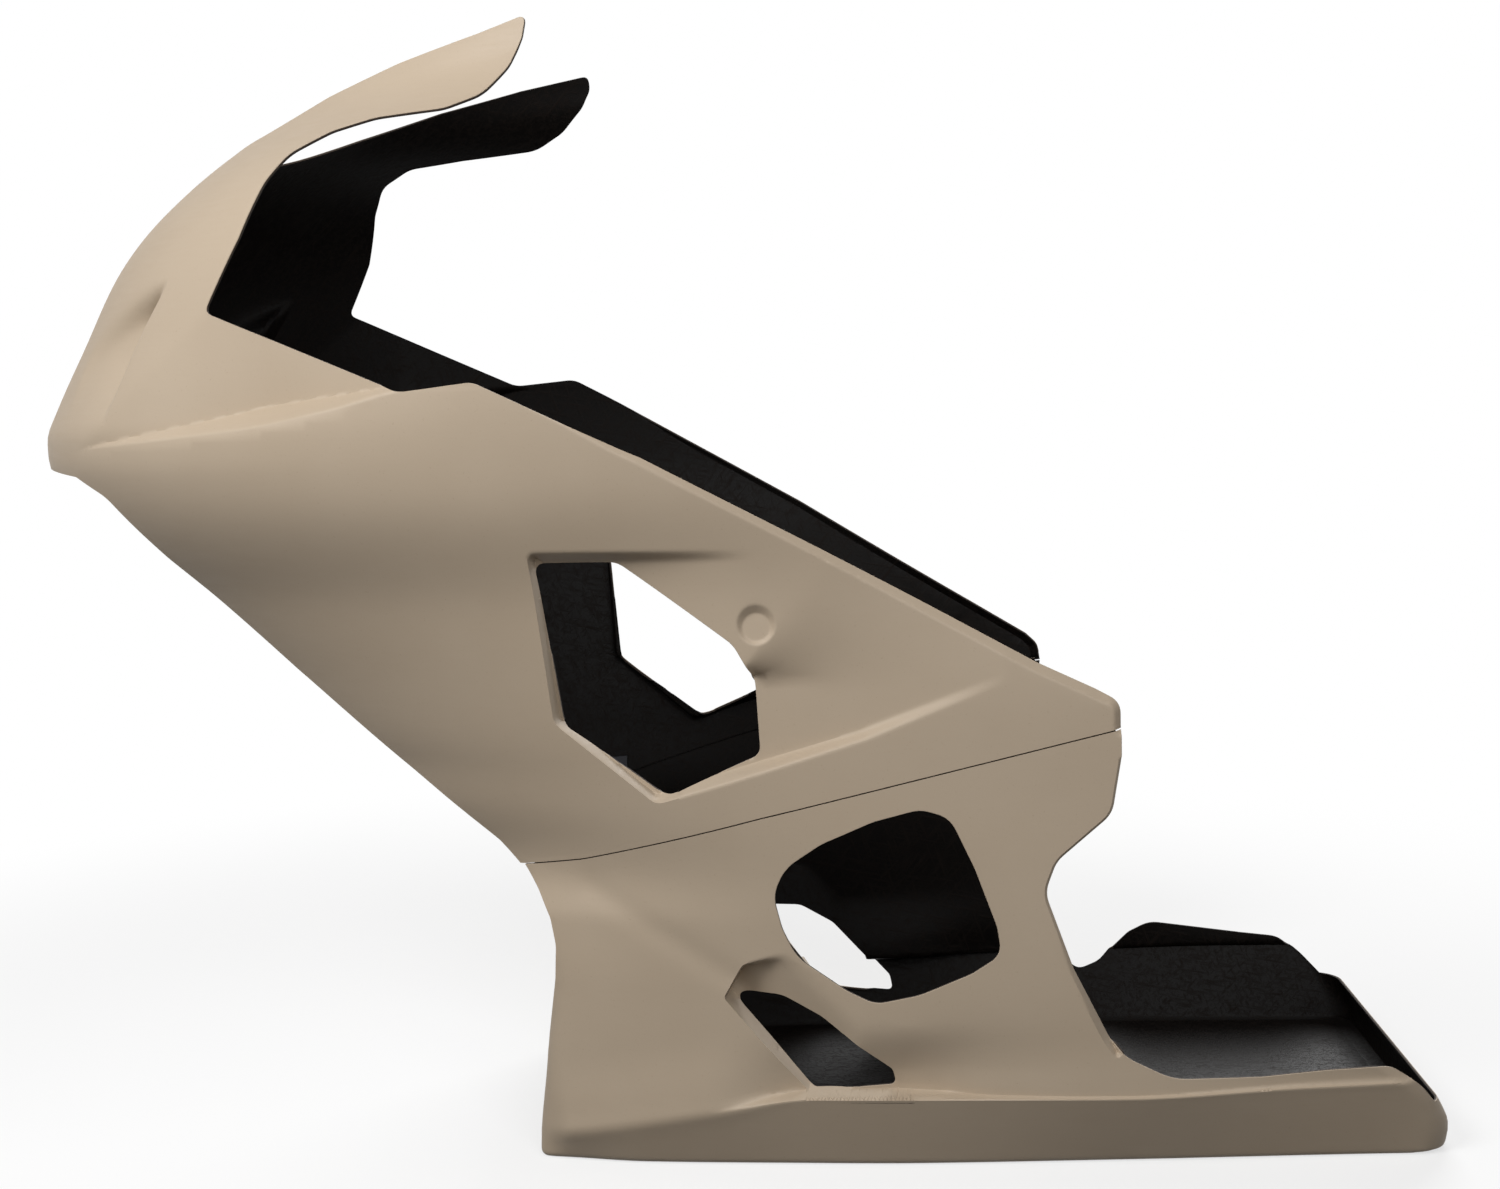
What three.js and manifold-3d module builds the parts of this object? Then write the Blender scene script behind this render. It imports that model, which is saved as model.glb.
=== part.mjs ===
// Motorcycle race fairing: an upper and a lower moulding that meet at a hairline seam.
// Millimetres. X runs from the nose (-) to the tail (+), Y across, with the bike's left side at -Y,
// and Z up from the underside of the belly pan.
import * as THREE from 'three';
import { mergeVertices } from 'three/addons/utils/BufferGeometryUtils.js';
import Module from 'manifold-3d';

const wasm = await Module();
wasm.setup();

// ---- driving sizes ----
const wall = 2.5; // laminate
const bond = 0.4; // adhesive line behind a bonded piece
const seamGap = 0.7;
const noseSweep = 400; // distance over which the plan view turns from the front edge to the full width
const tailCorner = 26; // plan radius where the side meets the tail wall
const footRadius = 5; // where the side meets the floor
const damHeight = 100; // closed front of the belly pan, up to this height
const across = 420; // longer than any half width
const nearMiddle = 0.3; // left and right of the body stay this far from the middle plane

// ---- finishes ----
const primer = new THREE.MeshStandardMaterial({ color: 0xb1a28e, roughness: 0.62, metalness: 0 });
const laminate = new THREE.MeshStandardMaterial({ color: 0x1b1512, roughness: 0.45, metalness: 0 });
const anodised = new THREE.MeshStandardMaterial({ color: 0x1d1d1f, roughness: 0.42, metalness: 0.6 });
const steel = new THREE.MeshStandardMaterial({ color: 0xc9c9c6, roughness: 0.3, metalness: 0.95 });
const rubber = new THREE.MeshStandardMaterial({ color: 0x17171a, roughness: 0.85, metalness: 0 });

// ---- small maths ----
const clamp = (v, low = 0, high = 1) => Math.min(high, Math.max(low, v));
const mix = (a, b, t) => a + (b - a) * t;
const smooth = (v) => clamp(v) ** 2 * (3 - 2 * clamp(v));

// A curve through [place, value] stations that never overshoots them.
function through(stations) {
  const at = stations.map((s) => s[0]);
  const value = stations.map((s) => s[1]);
  const rise = at.slice(1).map((a, i) => (value[i + 1] - value[i]) / (a - at[i]));
  const slope = at.map((_, i) => {
    if (i === 0 || i === at.length - 1 || rise[i - 1] * rise[i] <= 0) return 0;
    return 2 * rise[i - 1] * rise[i] / (rise[i - 1] + rise[i]);
  });
  return (v) => {
    if (v <= at[0]) return value[0];
    if (v >= at[at.length - 1]) return value[value.length - 1];
    const i = at.findIndex((a) => a > v) - 1;
    const span = at[i + 1] - at[i];
    const t = (v - at[i]) / span;
    return value[i] * (1 + 2 * t) * (1 - t) ** 2 + slope[i] * span * t * (1 - t) ** 2
      + value[i + 1] * t * t * (3 - 2 * t) + slope[i + 1] * span * t * t * (t - 1);
  };
}

// ---- the body's form, by height: front edge, its half width, full half width, half width aft ----
const frontX = through([
  [0, -149], [81, -140], [149, -133], [200, -150], [243, -205], [290, -290], [332, -345], [405, -414],
  [460, -470], [500, -516], [530, -542], [553, -556], [572, -564], [590, -563], [611, -554], [666, -524.5],
  [720, -495], [753, -469], [789, -429.5], [814, -397], [849, -346], [888, -292], [910, -262],
]);
const frontHalf = through([[0, 148], [149, 152], [200, 138], [243, 80], [290, 30], [332, 0.6], [910, 0.6]]);
const fullHalf = through([
  [70, 188], [150, 190], [243, 203], [300, 206], [455, 222], [545, 254], [620, 262], [737, 260],
  [790, 254], [814, 238], [835, 204], [862, 186], [910, 184],
]);
const aftHalf = through([[65, 199], [165, 203], [300, 208], [400, 213], [910, 213]]);
const rearX = through([
  [0, 562], [3, 573], [17, 574], [43, 564], [81, 529], [100, 470], [130, 350], [350, 345], [400, 292],
  [573, 0], [625, -90], [680, -240], [780, -250], [815, -95], [910, -95],
]);

// ---- the belly pan's side, by X: crease height and half width, foot half width, step above the crease ----
const creaseZ = through([[-148, 24], [-119, 28], [-6, 49], [80, 63], [318, 63], [452, 67], [574, 68]]);
const creaseHalf = through([[-148, 150], [-119, 166], [-6, 187], [80, 195], [212, 200], [318, 203],
  [452, 195], [544, 187], [574, 180]]);
const footHalf = through([[-148, 148], [-60, 161], [47, 167], [158, 171], [322, 168], [561, 162]]);
const shelf = through([[-10, 0], [70, 14], [140, 20], [165, 17], [221, 6], [290, 3], [574, 3]]);

function sideHalf(x, z) {
  const t = clamp((x - frontX(z)) / noseSweep);
  const bow = (1 - (1 - t) ** 2) ** 0.53;
  const fore = mix(frontHalf(z), fullHalf(z), bow);
  const panel = mix(fore, aftHalf(z), smooth((x + 150) / 450));
  const crease = creaseZ(x);
  if (z < crease) return mix(footHalf(x), creaseHalf(x), z / crease);
  const above = smooth((z - crease) / 60);
  const step = shelf(x) * smooth((z - crease) / 4);
  return mix(creaseHalf(x) - step, panel, above);
}

// ---- moulded-in recesses: outline in side view, depth, and the spacing and slope of the floor's grid ----
const intake = {
  pitch: 12,
  lean: 0.5,
  outline: [[-397, 718], [-422, 676], [-441, 639], [-456, 604], [-538, 604], [-538, 718]],
  depth(x, z) {
    const edge = mix(-397, -456, clamp((718 - z) / 114));
    const inward = 1 - (edge - x) / mix(12, 64, clamp((711 - z) / 45));
    return 17 * inward * smooth((z - 600) / 60) - 1;
  },
};
const cheek = {
  pitch: 26,
  lean: 0.8,
  outline: [[-500, 578], [-202, 617], [-202, 700], [-372, 700]],
  depth(x, z) {
    const belowRidge = (99 * (x + 484) - 123 * (z - 585)) / 158;
    return 0.12 * belowRidge * clamp((-196 - x) / 120) - 0.5;
  },
};
const sideScoop = {
  pitch: 17,
  lean: 0.65,
  outline: [[-122, 499, 8], [60, 495.5], [240, 470], [240, 392], [127, 348], [-19, 304.5], [-37, 299, 8],
    [-113, 364, 10]],
  depth(x, z) {
    const beyondFold = (40 * (x - 43) - 62 * (z - 398)) / 73.8;
    const alongFold = (62 * (x - 43) + 40 * (z - 398)) / 73.8;
    const ramp = 16 + 0.35 * Math.max(0, alongFold);
    const above = 1 - (x + 80) / 120;
    const below = (1 - (x - 40) / 190) * clamp(1 + beyondFold / ramp) ** 2;
    return 14 * Math.min(1, Math.max(above, below)) - 0.5;
  },
};
const ventScoop = {
  pitch: 14,
  lean: -1.15,
  outline: [[8.5, 143, 4], [24, 170, 10], [62, 184], [160, 120], [151, 69], [71, 67.5]],
  depth(x, z) {
    const inward = (102 * (62 - x) + 89 * (180 - z)) / 135;
    return Math.min(26, 0.5 * inward) - 1;
  },
};

// The right vent sits lower than the left one.
const onRight = ([x, z, radius]) => [x + 3, z - 17 - 0.17 * (x - 14), radius];
const ventScoopRight = {
  ...ventScoop,
  outline: ventScoop.outline.map(onRight),
  depth: (x, z) => ventScoop.depth(x - 3, z + 17 + 0.17 * (x - 17)),
};

// ---- trims in side view: [x, z, corner radius] ----
const archEdge = [[-620, 568], [-560, 568], [-499, 561], [-468, 545, 40], [-424, 495, 60], [-331, 402],
  [-251, 328], [-171, 260], [-155, 241]];
const armTrim = [[-335, 738, 14], [-318, 782, 40], [-302, 804, 30], [-270, 820, 40], [-235, 828, 60],
  [-178, 830, 40], [-150, 840, 30], [-131, 862, 30], [-121, 884, 20], [-118, 902, 5], [-157, 891],
  [-225, 875], [-288, 855], [-341, 830], [-398, 813], [-620, 762]];
const armTrimRight = [[-331, 742, 12], [-319, 786, 30], [-306, 808, 25], [-278, 824, 30], [-232, 831, 60],
  [-165, 839, 40], [-138, 853, 30], [-118, 874, 20], [-110, 890, 15], [-112, 902, 5], [-171, 887],
  [-241, 867], [-309, 844], [-358, 826], [-398, 813], [-620, 762]];
const topTrim = [[315, 372, 18], [296, 382.5, 8], [253, 403.5], [98, 492], [-33, 566], [-48, 573],
  [-151, 624.5, 16], [-206, 619, 25], [-363, 684, 6], ...armTrim];
const topTrimRight = [[291, 362, 12], [279, 371, 10], [67, 503.5], [-108, 604], [-152, 628, 24],
  [-208, 624.5, 24], [-357, 698, 6], ...armTrimRight];
const lowerFront = [[-140, 222], [-130, 201], [-126, 179], [-128, 151], [-136.5, damHeight + 2],
  [-190, damHeight], [-190, -20]];
const bellyTop = [[620, -20], [620, 46], [557, 46], [543, 65], [522, 82.5, 6], [470, 80, 60],
  [420, 76.5, 60], [352, 77, 40], [310, 98, 40], [278, 165], [257, 226, 14], [266, 250, 26], [308, 286, 24],
  [315, 328, 30]];
const bellyTopRight = [[620, -20], [620, 46], [550, 46], [537, 61], [521, 74.5, 6], [477, 79.5, 40],
  [392, 90, 30], [372, 80, 20], [343, 52, 24], [320, 43.5, 14], [300, 76, 24], [262, 200], [252, 226, 14],
  [258, 252, 18], [280, 288, 20], [290, 318, 20]];

// ---- openings in side view ----
const sideOpening = [[-119, 489, 8], [-57, 488, 20], [27, 423, 26], [42, 395, 26], [44, 336, 10],
  [-31, 303.5, 18], [-107, 362, 16]];
const outlet = [[50, 226, 10], [60, 248, 16], [88, 267], [128, 284], [164, 293, 26], [186, 286, 22],
  [204, 246], [220, 200], [223, 178, 16], [200, 163], [160, 146], [126, 139, 20], [104, 150, 20], [66, 177],
  [56, 200]];
const vent = [[13, 142, 8], [54, 142, 20], [84, 127], [138, 82, 8], [140, 70, 10], [112, 68], [75, 68, 6]];
const ventRight = vent.map(onRight);

// ---- the joint between the two mouldings, by X ----
const seamPlaces = [[-151, 241], [-100, 250], [-57, 261.5], [43, 288], [315, 351.5]];
const seamZ = through(seamPlaces);
const rightSeamEnd = 293;

// ---- frame bolt recess on each flank ----
const dish = {
  x: 45, z: 436, flat: 10.5, mouth: 27, reach: 12, depth: 3.2, cup: 19, doubler: 32, doublerThickness: 2,
};

// ---- peg and grommet joints inside the seam ----
const pegPlaces = { front: -118, middle: 80, rear: 215 };
const peg = { radius: 3, inboard: 17, head: 5.5, collar: 5, tip: 1.4, reach: 13 };
const bracket = { width: 30, height: 20, plate: 2, arm: 28, armWidth: 20, offset: 12 };
const grommet = { bore: 3.4, waist: 5, flange: 7.6, lip: 1.6 };
const fit = 0.35; // clearance between metal and rubber

// ---- solids ----
function toSolid(geometry, isWelded = false) {
  const bare = new THREE.BufferGeometry();
  bare.setAttribute('position', geometry.getAttribute('position').clone());
  if (geometry.index) bare.setIndex(geometry.index.clone());
  const welded = isWelded ? bare : mergeVertices(bare, 1e-4);
  const corners = welded.index.array;
  const kept = [];
  for (let i = 0; i < corners.length; i += 3) {
    const [a, b, c] = corners.slice(i, i + 3);
    if (a !== b && b !== c && c !== a) kept.push(a, b, c);
  }
  return new wasm.Manifold(new wasm.Mesh({
    numProp: 3,
    vertProperties: new Float32Array(welded.getAttribute('position').array),
    triVerts: new Uint32Array(kept),
  }));
}

function toGeometry(solid) {
  const mesh = solid.getMesh();
  const geometry = new THREE.BufferGeometry();
  geometry.setAttribute('position', new THREE.BufferAttribute(new Float32Array(mesh.vertProperties), 3));
  geometry.setIndex(new THREE.BufferAttribute(new Uint32Array(mesh.triVerts), 1));
  return geometry;
}

// A closed outline with its corners rounded where a radius is given.
function roundedShape(points) {
  const shape = new THREE.Shape();
  points.forEach(([x, z, radius = 0], i) => {
    const [bx, bz] = points[(i + points.length - 1) % points.length];
    const [nx, nz] = points[(i + 1) % points.length];
    const here = new THREE.Vector2(x, z);
    const back = new THREE.Vector2(bx, bz).sub(here);
    const next = new THREE.Vector2(nx, nz).sub(here);
    const half = Math.acos(clamp(back.dot(next) / back.length() / next.length(), -1, 1)) / 2;
    const set = Math.min(radius / Math.tan(half), back.length() * 0.45, next.length() * 0.45);
    const enter = here.clone().addScaledVector(back.normalize(), set);
    const leave = here.clone().addScaledVector(next.normalize(), set);
    if (i === 0) shape.moveTo(enter.x, enter.y);
    else shape.lineTo(enter.x, enter.y);
    if (set > 0) shape.quadraticCurveTo(x, z, leave.x, leave.y);
  });
  shape.closePath();
  return shape;
}

// The side-view outline pushed across the bike, on the left (-1) or the right (+1) of the middle plane.
function prism(points, side, steps = 3) {
  const geometry = new THREE.ExtrudeGeometry(roundedShape(points), {
    depth: across, bevelEnabled: false, curveSegments: steps,
  });
  geometry.rotateX(Math.PI / 2);
  geometry.translate(0, side > 0 ? across - nearMiddle / 2 : nearMiddle / 2, 0);
  return toSolid(geometry);
}

// An outline moved outward by a distance.
function grown(points, by) {
  const area = points.reduce((sum, [x, z], i) => {
    const [nx, nz] = points[(i + 1) % points.length];
    return sum + x * nz - nx * z;
  }, 0);
  const turn = Math.sign(area);
  return points.map(([x, z, radius = 0], i) => {
    const [bx, bz] = points[(i + points.length - 1) % points.length];
    const [nx, nz] = points[(i + 1) % points.length];
    const before = new THREE.Vector2(z - bz, bx - x).normalize().multiplyScalar(turn);
    const after = new THREE.Vector2(nz - z, x - nx).normalize().multiplyScalar(turn);
    const push = before.clone().add(after).multiplyScalar(by / (1 + before.dot(after)));
    return [x + push.x, z + push.y, radius > 0 ? radius + by : 0];
  });
}

const sides = { left: -1, right: 1 };
const heights = [100, 130, 160, 190, 215, 243, 270, 305, 340, 375, 410, 445, 480, 510, 535, 552, 564, 576,
  590, 610, 640, 670, 700, 735, 770, 797, 820, 842, 875, 910];
const columns = 17;
const cornerSteps = 3;

// Half of one level of the body, from the front edge round to the tail wall.
function halfLevel(heightAt, inset = 0) {
  const nominal = heightAt(0);
  const start = frontX(nominal) + inset;
  const end = rearX(nominal) - inset;
  const level = [];
  const put = (x, half) => level.push([x, half - inset, heightAt(x)]);
  for (let i = 0; i <= columns; i += 1) {
    const x = mix(start, end - tailCorner, 1 - Math.cos(Math.PI / 2 * i / columns));
    put(x, i === 0 ? frontHalf(nominal) : sideHalf(x, heightAt(x)));
  }
  const last = sideHalf(end - tailCorner, heightAt(end - tailCorner));
  for (let i = 1; i <= cornerSteps; i += 1) {
    const turn = Math.PI / 2 * i / cornerSteps;
    put(end - tailCorner * (1 - Math.sin(turn)), last - tailCorner * (1 - Math.cos(turn)));
  }
  return level;
}

function levels() {
  const foot = [[0, footRadius], [footRadius * 0.3, footRadius * 0.3], [footRadius, 0]];
  const rows = foot.map(([z, inset]) => halfLevel(() => z, inset));
  [0, 4, 22].forEach((rise) => rows.push(halfLevel((x) => creaseZ(x) + rise)));
  heights.forEach((z) => rows.push(halfLevel(() => z)));
  return rows.map((row) => {
    const left = row.map(([x, half, z]) => new THREE.Vector3(x, -half, z));
    const right = row.map(([x, half, z]) => new THREE.Vector3(x, half, z)).reverse();
    return [...left, ...right];
  });
}

// The filled body, set in from the outer skin by a distance along its normals.
function filledBody(inward) {
  const rows = levels();
  const count = rows[0].length;
  const top = rows.length - 1;
  const normalAt = (k, i) => {
    const along = rows[k][(i + 1) % count].clone().sub(rows[k][(i + count - 1) % count]);
    const up = rows[Math.min(top, k + 1)][i].clone().sub(rows[Math.max(0, k - 1)][i]);
    return along.cross(up).normalize();
  };
  const points = rows.map((row, k) => row.map((p, i) => {
    const moved = p.clone().addScaledVector(normalAt(k, i), -inward);
    if (k === 0) moved.z = inward;
    const side = i < count / 2 ? -1 : 1;
    moved.y = side * Math.max(side * moved.y, nearMiddle);
    return moved;
  }));
  const at = (k, i) => k * count + (i % count);
  const faces = [];
  for (let k = 0; k < top; k += 1) {
    for (let i = 0; i < count; i += 1) {
      faces.push(at(k, i), at(k, i + 1), at(k + 1, i + 1), at(k, i), at(k + 1, i + 1), at(k + 1, i));
    }
  }
  const rung = (k, i) => [at(k, i), at(k, i + 1), at(k, count - 2 - i), at(k, count - 1 - i)];
  for (let i = 0; i < count / 2 - 1; i += 1) {
    const [a, b, c, d] = rung(0, i);
    faces.push(a, c, b, a, d, c);
    const [e, f, g, h] = rung(top, i);
    faces.push(e, f, g, e, g, h);
  }
  const geometry = new THREE.BufferGeometry();
  geometry.setAttribute('position', new THREE.Float32BufferAttribute(
    points.flat().flatMap((p) => [p.x, p.y, p.z]), 3));
  geometry.setIndex(faces);
  return toSolid(geometry, true);
}

// A block that reaches in from outside as far as a recess's floor, set in along the floor's normals.
// The floor leaves out the step at the crease.
function recessBlock({ outline, depth, pitch, lean }, side, inward) {
  const box = new THREE.Box2().setFromPoints(outline.map(([x, z]) => new THREE.Vector2(x, z)));
  box.expandByScalar(inward + 3);
  const size = box.getSize(new THREE.Vector2());
  const centre = box.getCenter(new THREE.Vector2());
  const floorAt = (x, z) => sideHalf(x, Math.max(z, creaseZ(x) + 4)) - depth(x, z);
  const height = size.y + Math.abs(lean) * size.x;
  const geometry = new THREE.BoxGeometry(
    size.x, 2, height, Math.round(size.x / pitch), 1, Math.round(height / pitch));
  const place = geometry.getAttribute('position');
  for (let i = 0; i < place.count; i += 1) {
    const x = place.getX(i) + centre.x;
    const z = place.getZ(i) + centre.y + lean * place.getX(i);
    const slopeX = clamp((floorAt(x + 2, z) - floorAt(x - 2, z)) / 4, -1.5, 1.5);
    const slopeZ = clamp((floorAt(x, z + 2) - floorAt(x, z - 2)) / 4, -1.5, 1.5);
    const floor = floorAt(x, z) - inward * Math.hypot(1, slopeX, slopeZ);
    place.setXYZ(i, x, side * (place.getY(i) * side > 0 ? across : floor), z);
  }
  return toSolid(geometry);
}

// ---- the moulded body, with its recesses, set in from the outer skin ----
const both = [-1, 1];
const recesses = [
  [intake, -1], [intake, 1], [cheek, -1], [cheek, 1], [sideScoop, -1], [sideScoop, 1],
  [ventScoop, -1], [ventScoopRight, 1],
];
const made = new Map();

function body(inward) {
  if (!made.has(inward)) {
    const cuts = recesses.map(([recess, side]) => recessBlock(recess, side, inward)
      .intersect(prism(grown(recess.outline, inward), side)));
    made.set(inward, cuts.reduce((solid, recess) => solid.subtract(recess), filledBody(inward)));
  }
  return made.get(inward);
}

// A sheet that follows the inside of the laminate, cut to a side-view outline.
function liner(outline, side, thickness) {
  const face = wall + bond;
  return body(face).intersect(prism(outline, side)).subtract(body(face + thickness));
}

// A round bar along Y on the dish centre, between two distances from the middle plane.
function dishBar(side, from, to, innerRadius, outerRadius = innerRadius) {
  const [low, high] = side < 0 ? [outerRadius, innerRadius] : [innerRadius, outerRadius];
  const geometry = new THREE.CylinderGeometry(high, low, to - from, 20);
  geometry.translate(dish.x, side * (from + to) / 2, dish.z);
  return toSolid(geometry);
}

const dishFloor = sideHalf(dish.x, dish.z) - dish.depth;

// ---- the two shells ----
function seamLine(side, shift) {
  const end = side < 0 ? seamPlaces.at(-1)[0] : rightSeamEnd;
  const places = [...seamPlaces.slice(0, -1), [end, seamZ(end)]];
  return places.map(([x, z]) => [x, z + shift]);
}

function upperTrim(side) {
  const top = side < 0 ? topTrim : topTrimRight;
  return [...archEdge, ...seamLine(side, seamGap / 2), ...top];
}

function lowerTrim(side) {
  const rear = side < 0 ? bellyTop : bellyTopRight;
  return [...lowerFront, ...rear, ...seamLine(side, -seamGap / 2).reverse()];
}

function cut(solid, outline, side) {
  return solid.subtract(prism(outline, side));
}

function upperShell() {
  let shell = body(0).intersect(prism(upperTrim(-1), -1, 4).add(prism(upperTrim(1), 1, 4)));
  let hollow = body(wall);
  both.forEach((side) => {
    hollow = hollow.subtract(dishBar(side, dishFloor - wall, dishFloor + dish.reach, dish.cup));
  });
  shell = shell.subtract(hollow);
  both.forEach((side) => {
    shell = cut(shell, sideOpening, side);
    shell = shell.subtract(dishBar(side, dishFloor, dishFloor + dish.reach, dish.flat, dish.mouth));
  });
  return shell;
}

function lowerShell() {
  let shell = body(0).intersect(prism(lowerTrim(-1), -1, 4).add(prism(lowerTrim(1), 1, 4)));
  shell = shell.subtract(body(wall));
  shell = cut(shell, outlet, -1);
  shell = cut(shell, vent, -1);
  return cut(shell, ventRight, 1);
}

// A laminate ring bonded round the back of each bolt recess.
function doubler(side) {
  const ring = dishBar(side, 0, across, dish.doubler).subtract(dishBar(side, 0, across, dish.cup + bond));
  const face = wall + bond;
  const pad = body(face).intersect(ring).subtract(body(face + dish.doublerThickness));
  return pad.subtract(prism(grown(sideOpening, 3), side));
}

// ---- peg and grommet joints ----
function plateBox(x, side, fromHalf, low) {
  const geometry = new THREE.BoxGeometry(bracket.armWidth, bracket.arm + 8, bracket.plate);
  geometry.translate(x, side * (fromHalf - bracket.arm / 2 + 4), low + bracket.plate / 2);
  return toSolid(geometry).intersect(body(wall + bond));
}

function upright(x, y, from, to, radius) {
  const geometry = new THREE.CylinderGeometry(radius, radius, to - from, 12);
  geometry.rotateX(Math.PI / 2);
  geometry.translate(x, y, (from + to) / 2);
  return toSolid(geometry);
}

// An angle bracket: a pad that follows the laminate, and a level arm with a hole.
function angleBracket(x, side, skinHalf, padLow, armLow, holeY, holeRadius) {
  const left = x - bracket.width / 2;
  const right = x + bracket.width / 2;
  const padTop = padLow + bracket.height;
  const pad = liner([[left, padLow], [right, padLow], [right, padTop], [left, padTop]], side, bracket.plate);
  return pad.add(plateBox(x, side, skinHalf, armLow))
    .subtract(upright(x, holeY, armLow - 1, armLow + bracket.plate + 1, holeRadius));
}

function turned(x, y, profile) {
  const geometry = new THREE.LatheGeometry(profile.map(([r, z]) => new THREE.Vector2(r, z)), 12);
  geometry.rotateX(Math.PI / 2);
  geometry.translate(x, y, 0);
  return toSolid(geometry);
}

function pegJoint(x, side) {
  const joint = seamZ(x);
  const skinHalf = sideHalf(x, joint) - wall;
  const y = side * (skinHalf - peg.inboard);
  const upperArm = joint + bracket.offset;
  const lowerArm = joint - bracket.offset - bracket.plate;
  const upperTop = upperArm + bracket.plate;
  const lowerTop = lowerArm + bracket.plate;
  const tip = lowerArm - peg.reach;
  return {
    upper_bracket: [angleBracket(x, side, skinHalf, joint + 4, upperArm, y, peg.radius + fit), anodised],
    locating_peg: [turned(x, y, [
      [0, tip], [peg.tip, tip], [peg.radius, tip + 3], [peg.radius, upperArm - fit - 1.8],
      [peg.collar, upperArm - fit - 1.8], [peg.collar, upperArm - fit], [peg.radius, upperArm - fit],
      [peg.radius, upperTop + fit], [peg.head, upperTop + fit], [peg.head, upperTop + fit + 2],
      [0, upperTop + fit + 2],
    ]), steel],
    lower_bracket: [
      angleBracket(x, side, skinHalf, joint - 4 - bracket.height, lowerArm, y, grommet.waist + fit), anodised,
    ],
    rubber_grommet: [turned(x, y, [
      [grommet.bore, lowerArm - fit - grommet.lip], [grommet.flange, lowerArm - fit - grommet.lip],
      [grommet.flange, lowerArm - fit], [grommet.waist, lowerArm - fit], [grommet.waist, lowerTop + fit],
      [grommet.flange, lowerTop + fit], [grommet.flange, lowerTop + fit + grommet.lip],
      [grommet.bore, lowerTop + fit + grommet.lip], [grommet.bore, lowerArm - fit - grommet.lip],
    ]), rubber],
  };
}

// ---- the fairing ----
const fairing = new THREE.Group();

function place(name, solid, material) {
  const mesh = new THREE.Mesh(toGeometry(solid), material);
  mesh.name = name;
  fairing.add(mesh);
}

place('upper_shell', upperShell(), primer);
place('lower_shell', lowerShell(), primer);
Object.entries(sides).forEach(([hand, side]) => {
  place(`bolt_doubler_${hand}`, doubler(side), laminate);
  Object.entries(pegPlaces).forEach(([where, x]) => {
    Object.entries(pegJoint(x, side)).forEach(([piece, [solid, material]]) => {
      place(`${piece}_${hand}_${where}`, solid, material);
    });
  });
});

export default fairing;
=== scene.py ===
# Motorcycle race fairing: smooth mouldings, finishes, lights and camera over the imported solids.
# Shapes are worked out in millimetres and made in metres.
import math

import bpy
import numpy as np
from mathutils import Matrix, Vector, kdtree
from mathutils.geometry import delaunay_2d_cdt


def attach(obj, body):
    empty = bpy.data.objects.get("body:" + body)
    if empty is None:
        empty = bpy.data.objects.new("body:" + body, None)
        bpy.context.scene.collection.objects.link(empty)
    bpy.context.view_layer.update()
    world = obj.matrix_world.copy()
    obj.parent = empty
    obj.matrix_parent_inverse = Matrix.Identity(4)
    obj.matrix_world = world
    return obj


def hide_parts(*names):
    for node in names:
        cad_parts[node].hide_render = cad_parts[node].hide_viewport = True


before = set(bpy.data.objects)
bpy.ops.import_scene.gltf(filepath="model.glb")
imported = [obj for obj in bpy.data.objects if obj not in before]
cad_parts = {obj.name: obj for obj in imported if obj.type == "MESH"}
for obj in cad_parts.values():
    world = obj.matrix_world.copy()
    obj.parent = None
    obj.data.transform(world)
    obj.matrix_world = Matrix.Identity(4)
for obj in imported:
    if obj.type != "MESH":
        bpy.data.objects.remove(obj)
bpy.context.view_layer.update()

print("frame loaded:", len(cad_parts), "solids")


# small maths
def mix(a, b, t):
    return a + (b - a) * t


def smooth(v):
    v = np.clip(v, 0, 1)
    return v * v * (3 - 2 * v)


def softPositive(v, soft):
    # v where it is above zero, with the corner at zero rounded over 2 * soft
    return np.where(v > soft, v, np.maximum(v + soft, 0) ** 2 / (4 * soft))


def softMin(a, b, soft):
    return a - softPositive(a - b, soft)


def through(stations):
    # a curve through [place, value] stations that never overshoots them
    at, value = np.array(stations, float).T
    rise = np.diff(value) / np.diff(at)
    slope = np.zeros(len(at))
    same = rise[:-1] * rise[1:] > 0
    slope[1:-1][same] = (2 * rise[:-1] * rise[1:])[same] / (rise[:-1] + rise[1:])[same]

    def valueAt(v):
        v = np.clip(v, at[0], at[-1])
        i = np.clip(np.searchsorted(at, v, side="right") - 1, 0, len(at) - 2)
        span = at[i + 1] - at[i]
        t = (v - at[i]) / span
        return (value[i] * (1 + 2 * t) * (1 - t) ** 2 + slope[i] * span * t * (1 - t) ** 2
                + value[i + 1] * t * t * (3 - 2 * t) + slope[i + 1] * span * t * t * (t - 1))

    return valueAt


def eased(valueAt, low, high, spread):
    # the same curve with its bends spread over some millimetres
    at = np.arange(low - 4 * spread, high + 4 * spread + 1.0)
    weight = np.exp(-0.5 * (np.arange(-3 * spread, 3 * spread + 1) / spread) ** 2)
    value = np.convolve(valueAt(np.clip(at, low, high)), weight / weight.sum(), "same")
    return lambda v: np.interp(v, at, value)


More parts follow.
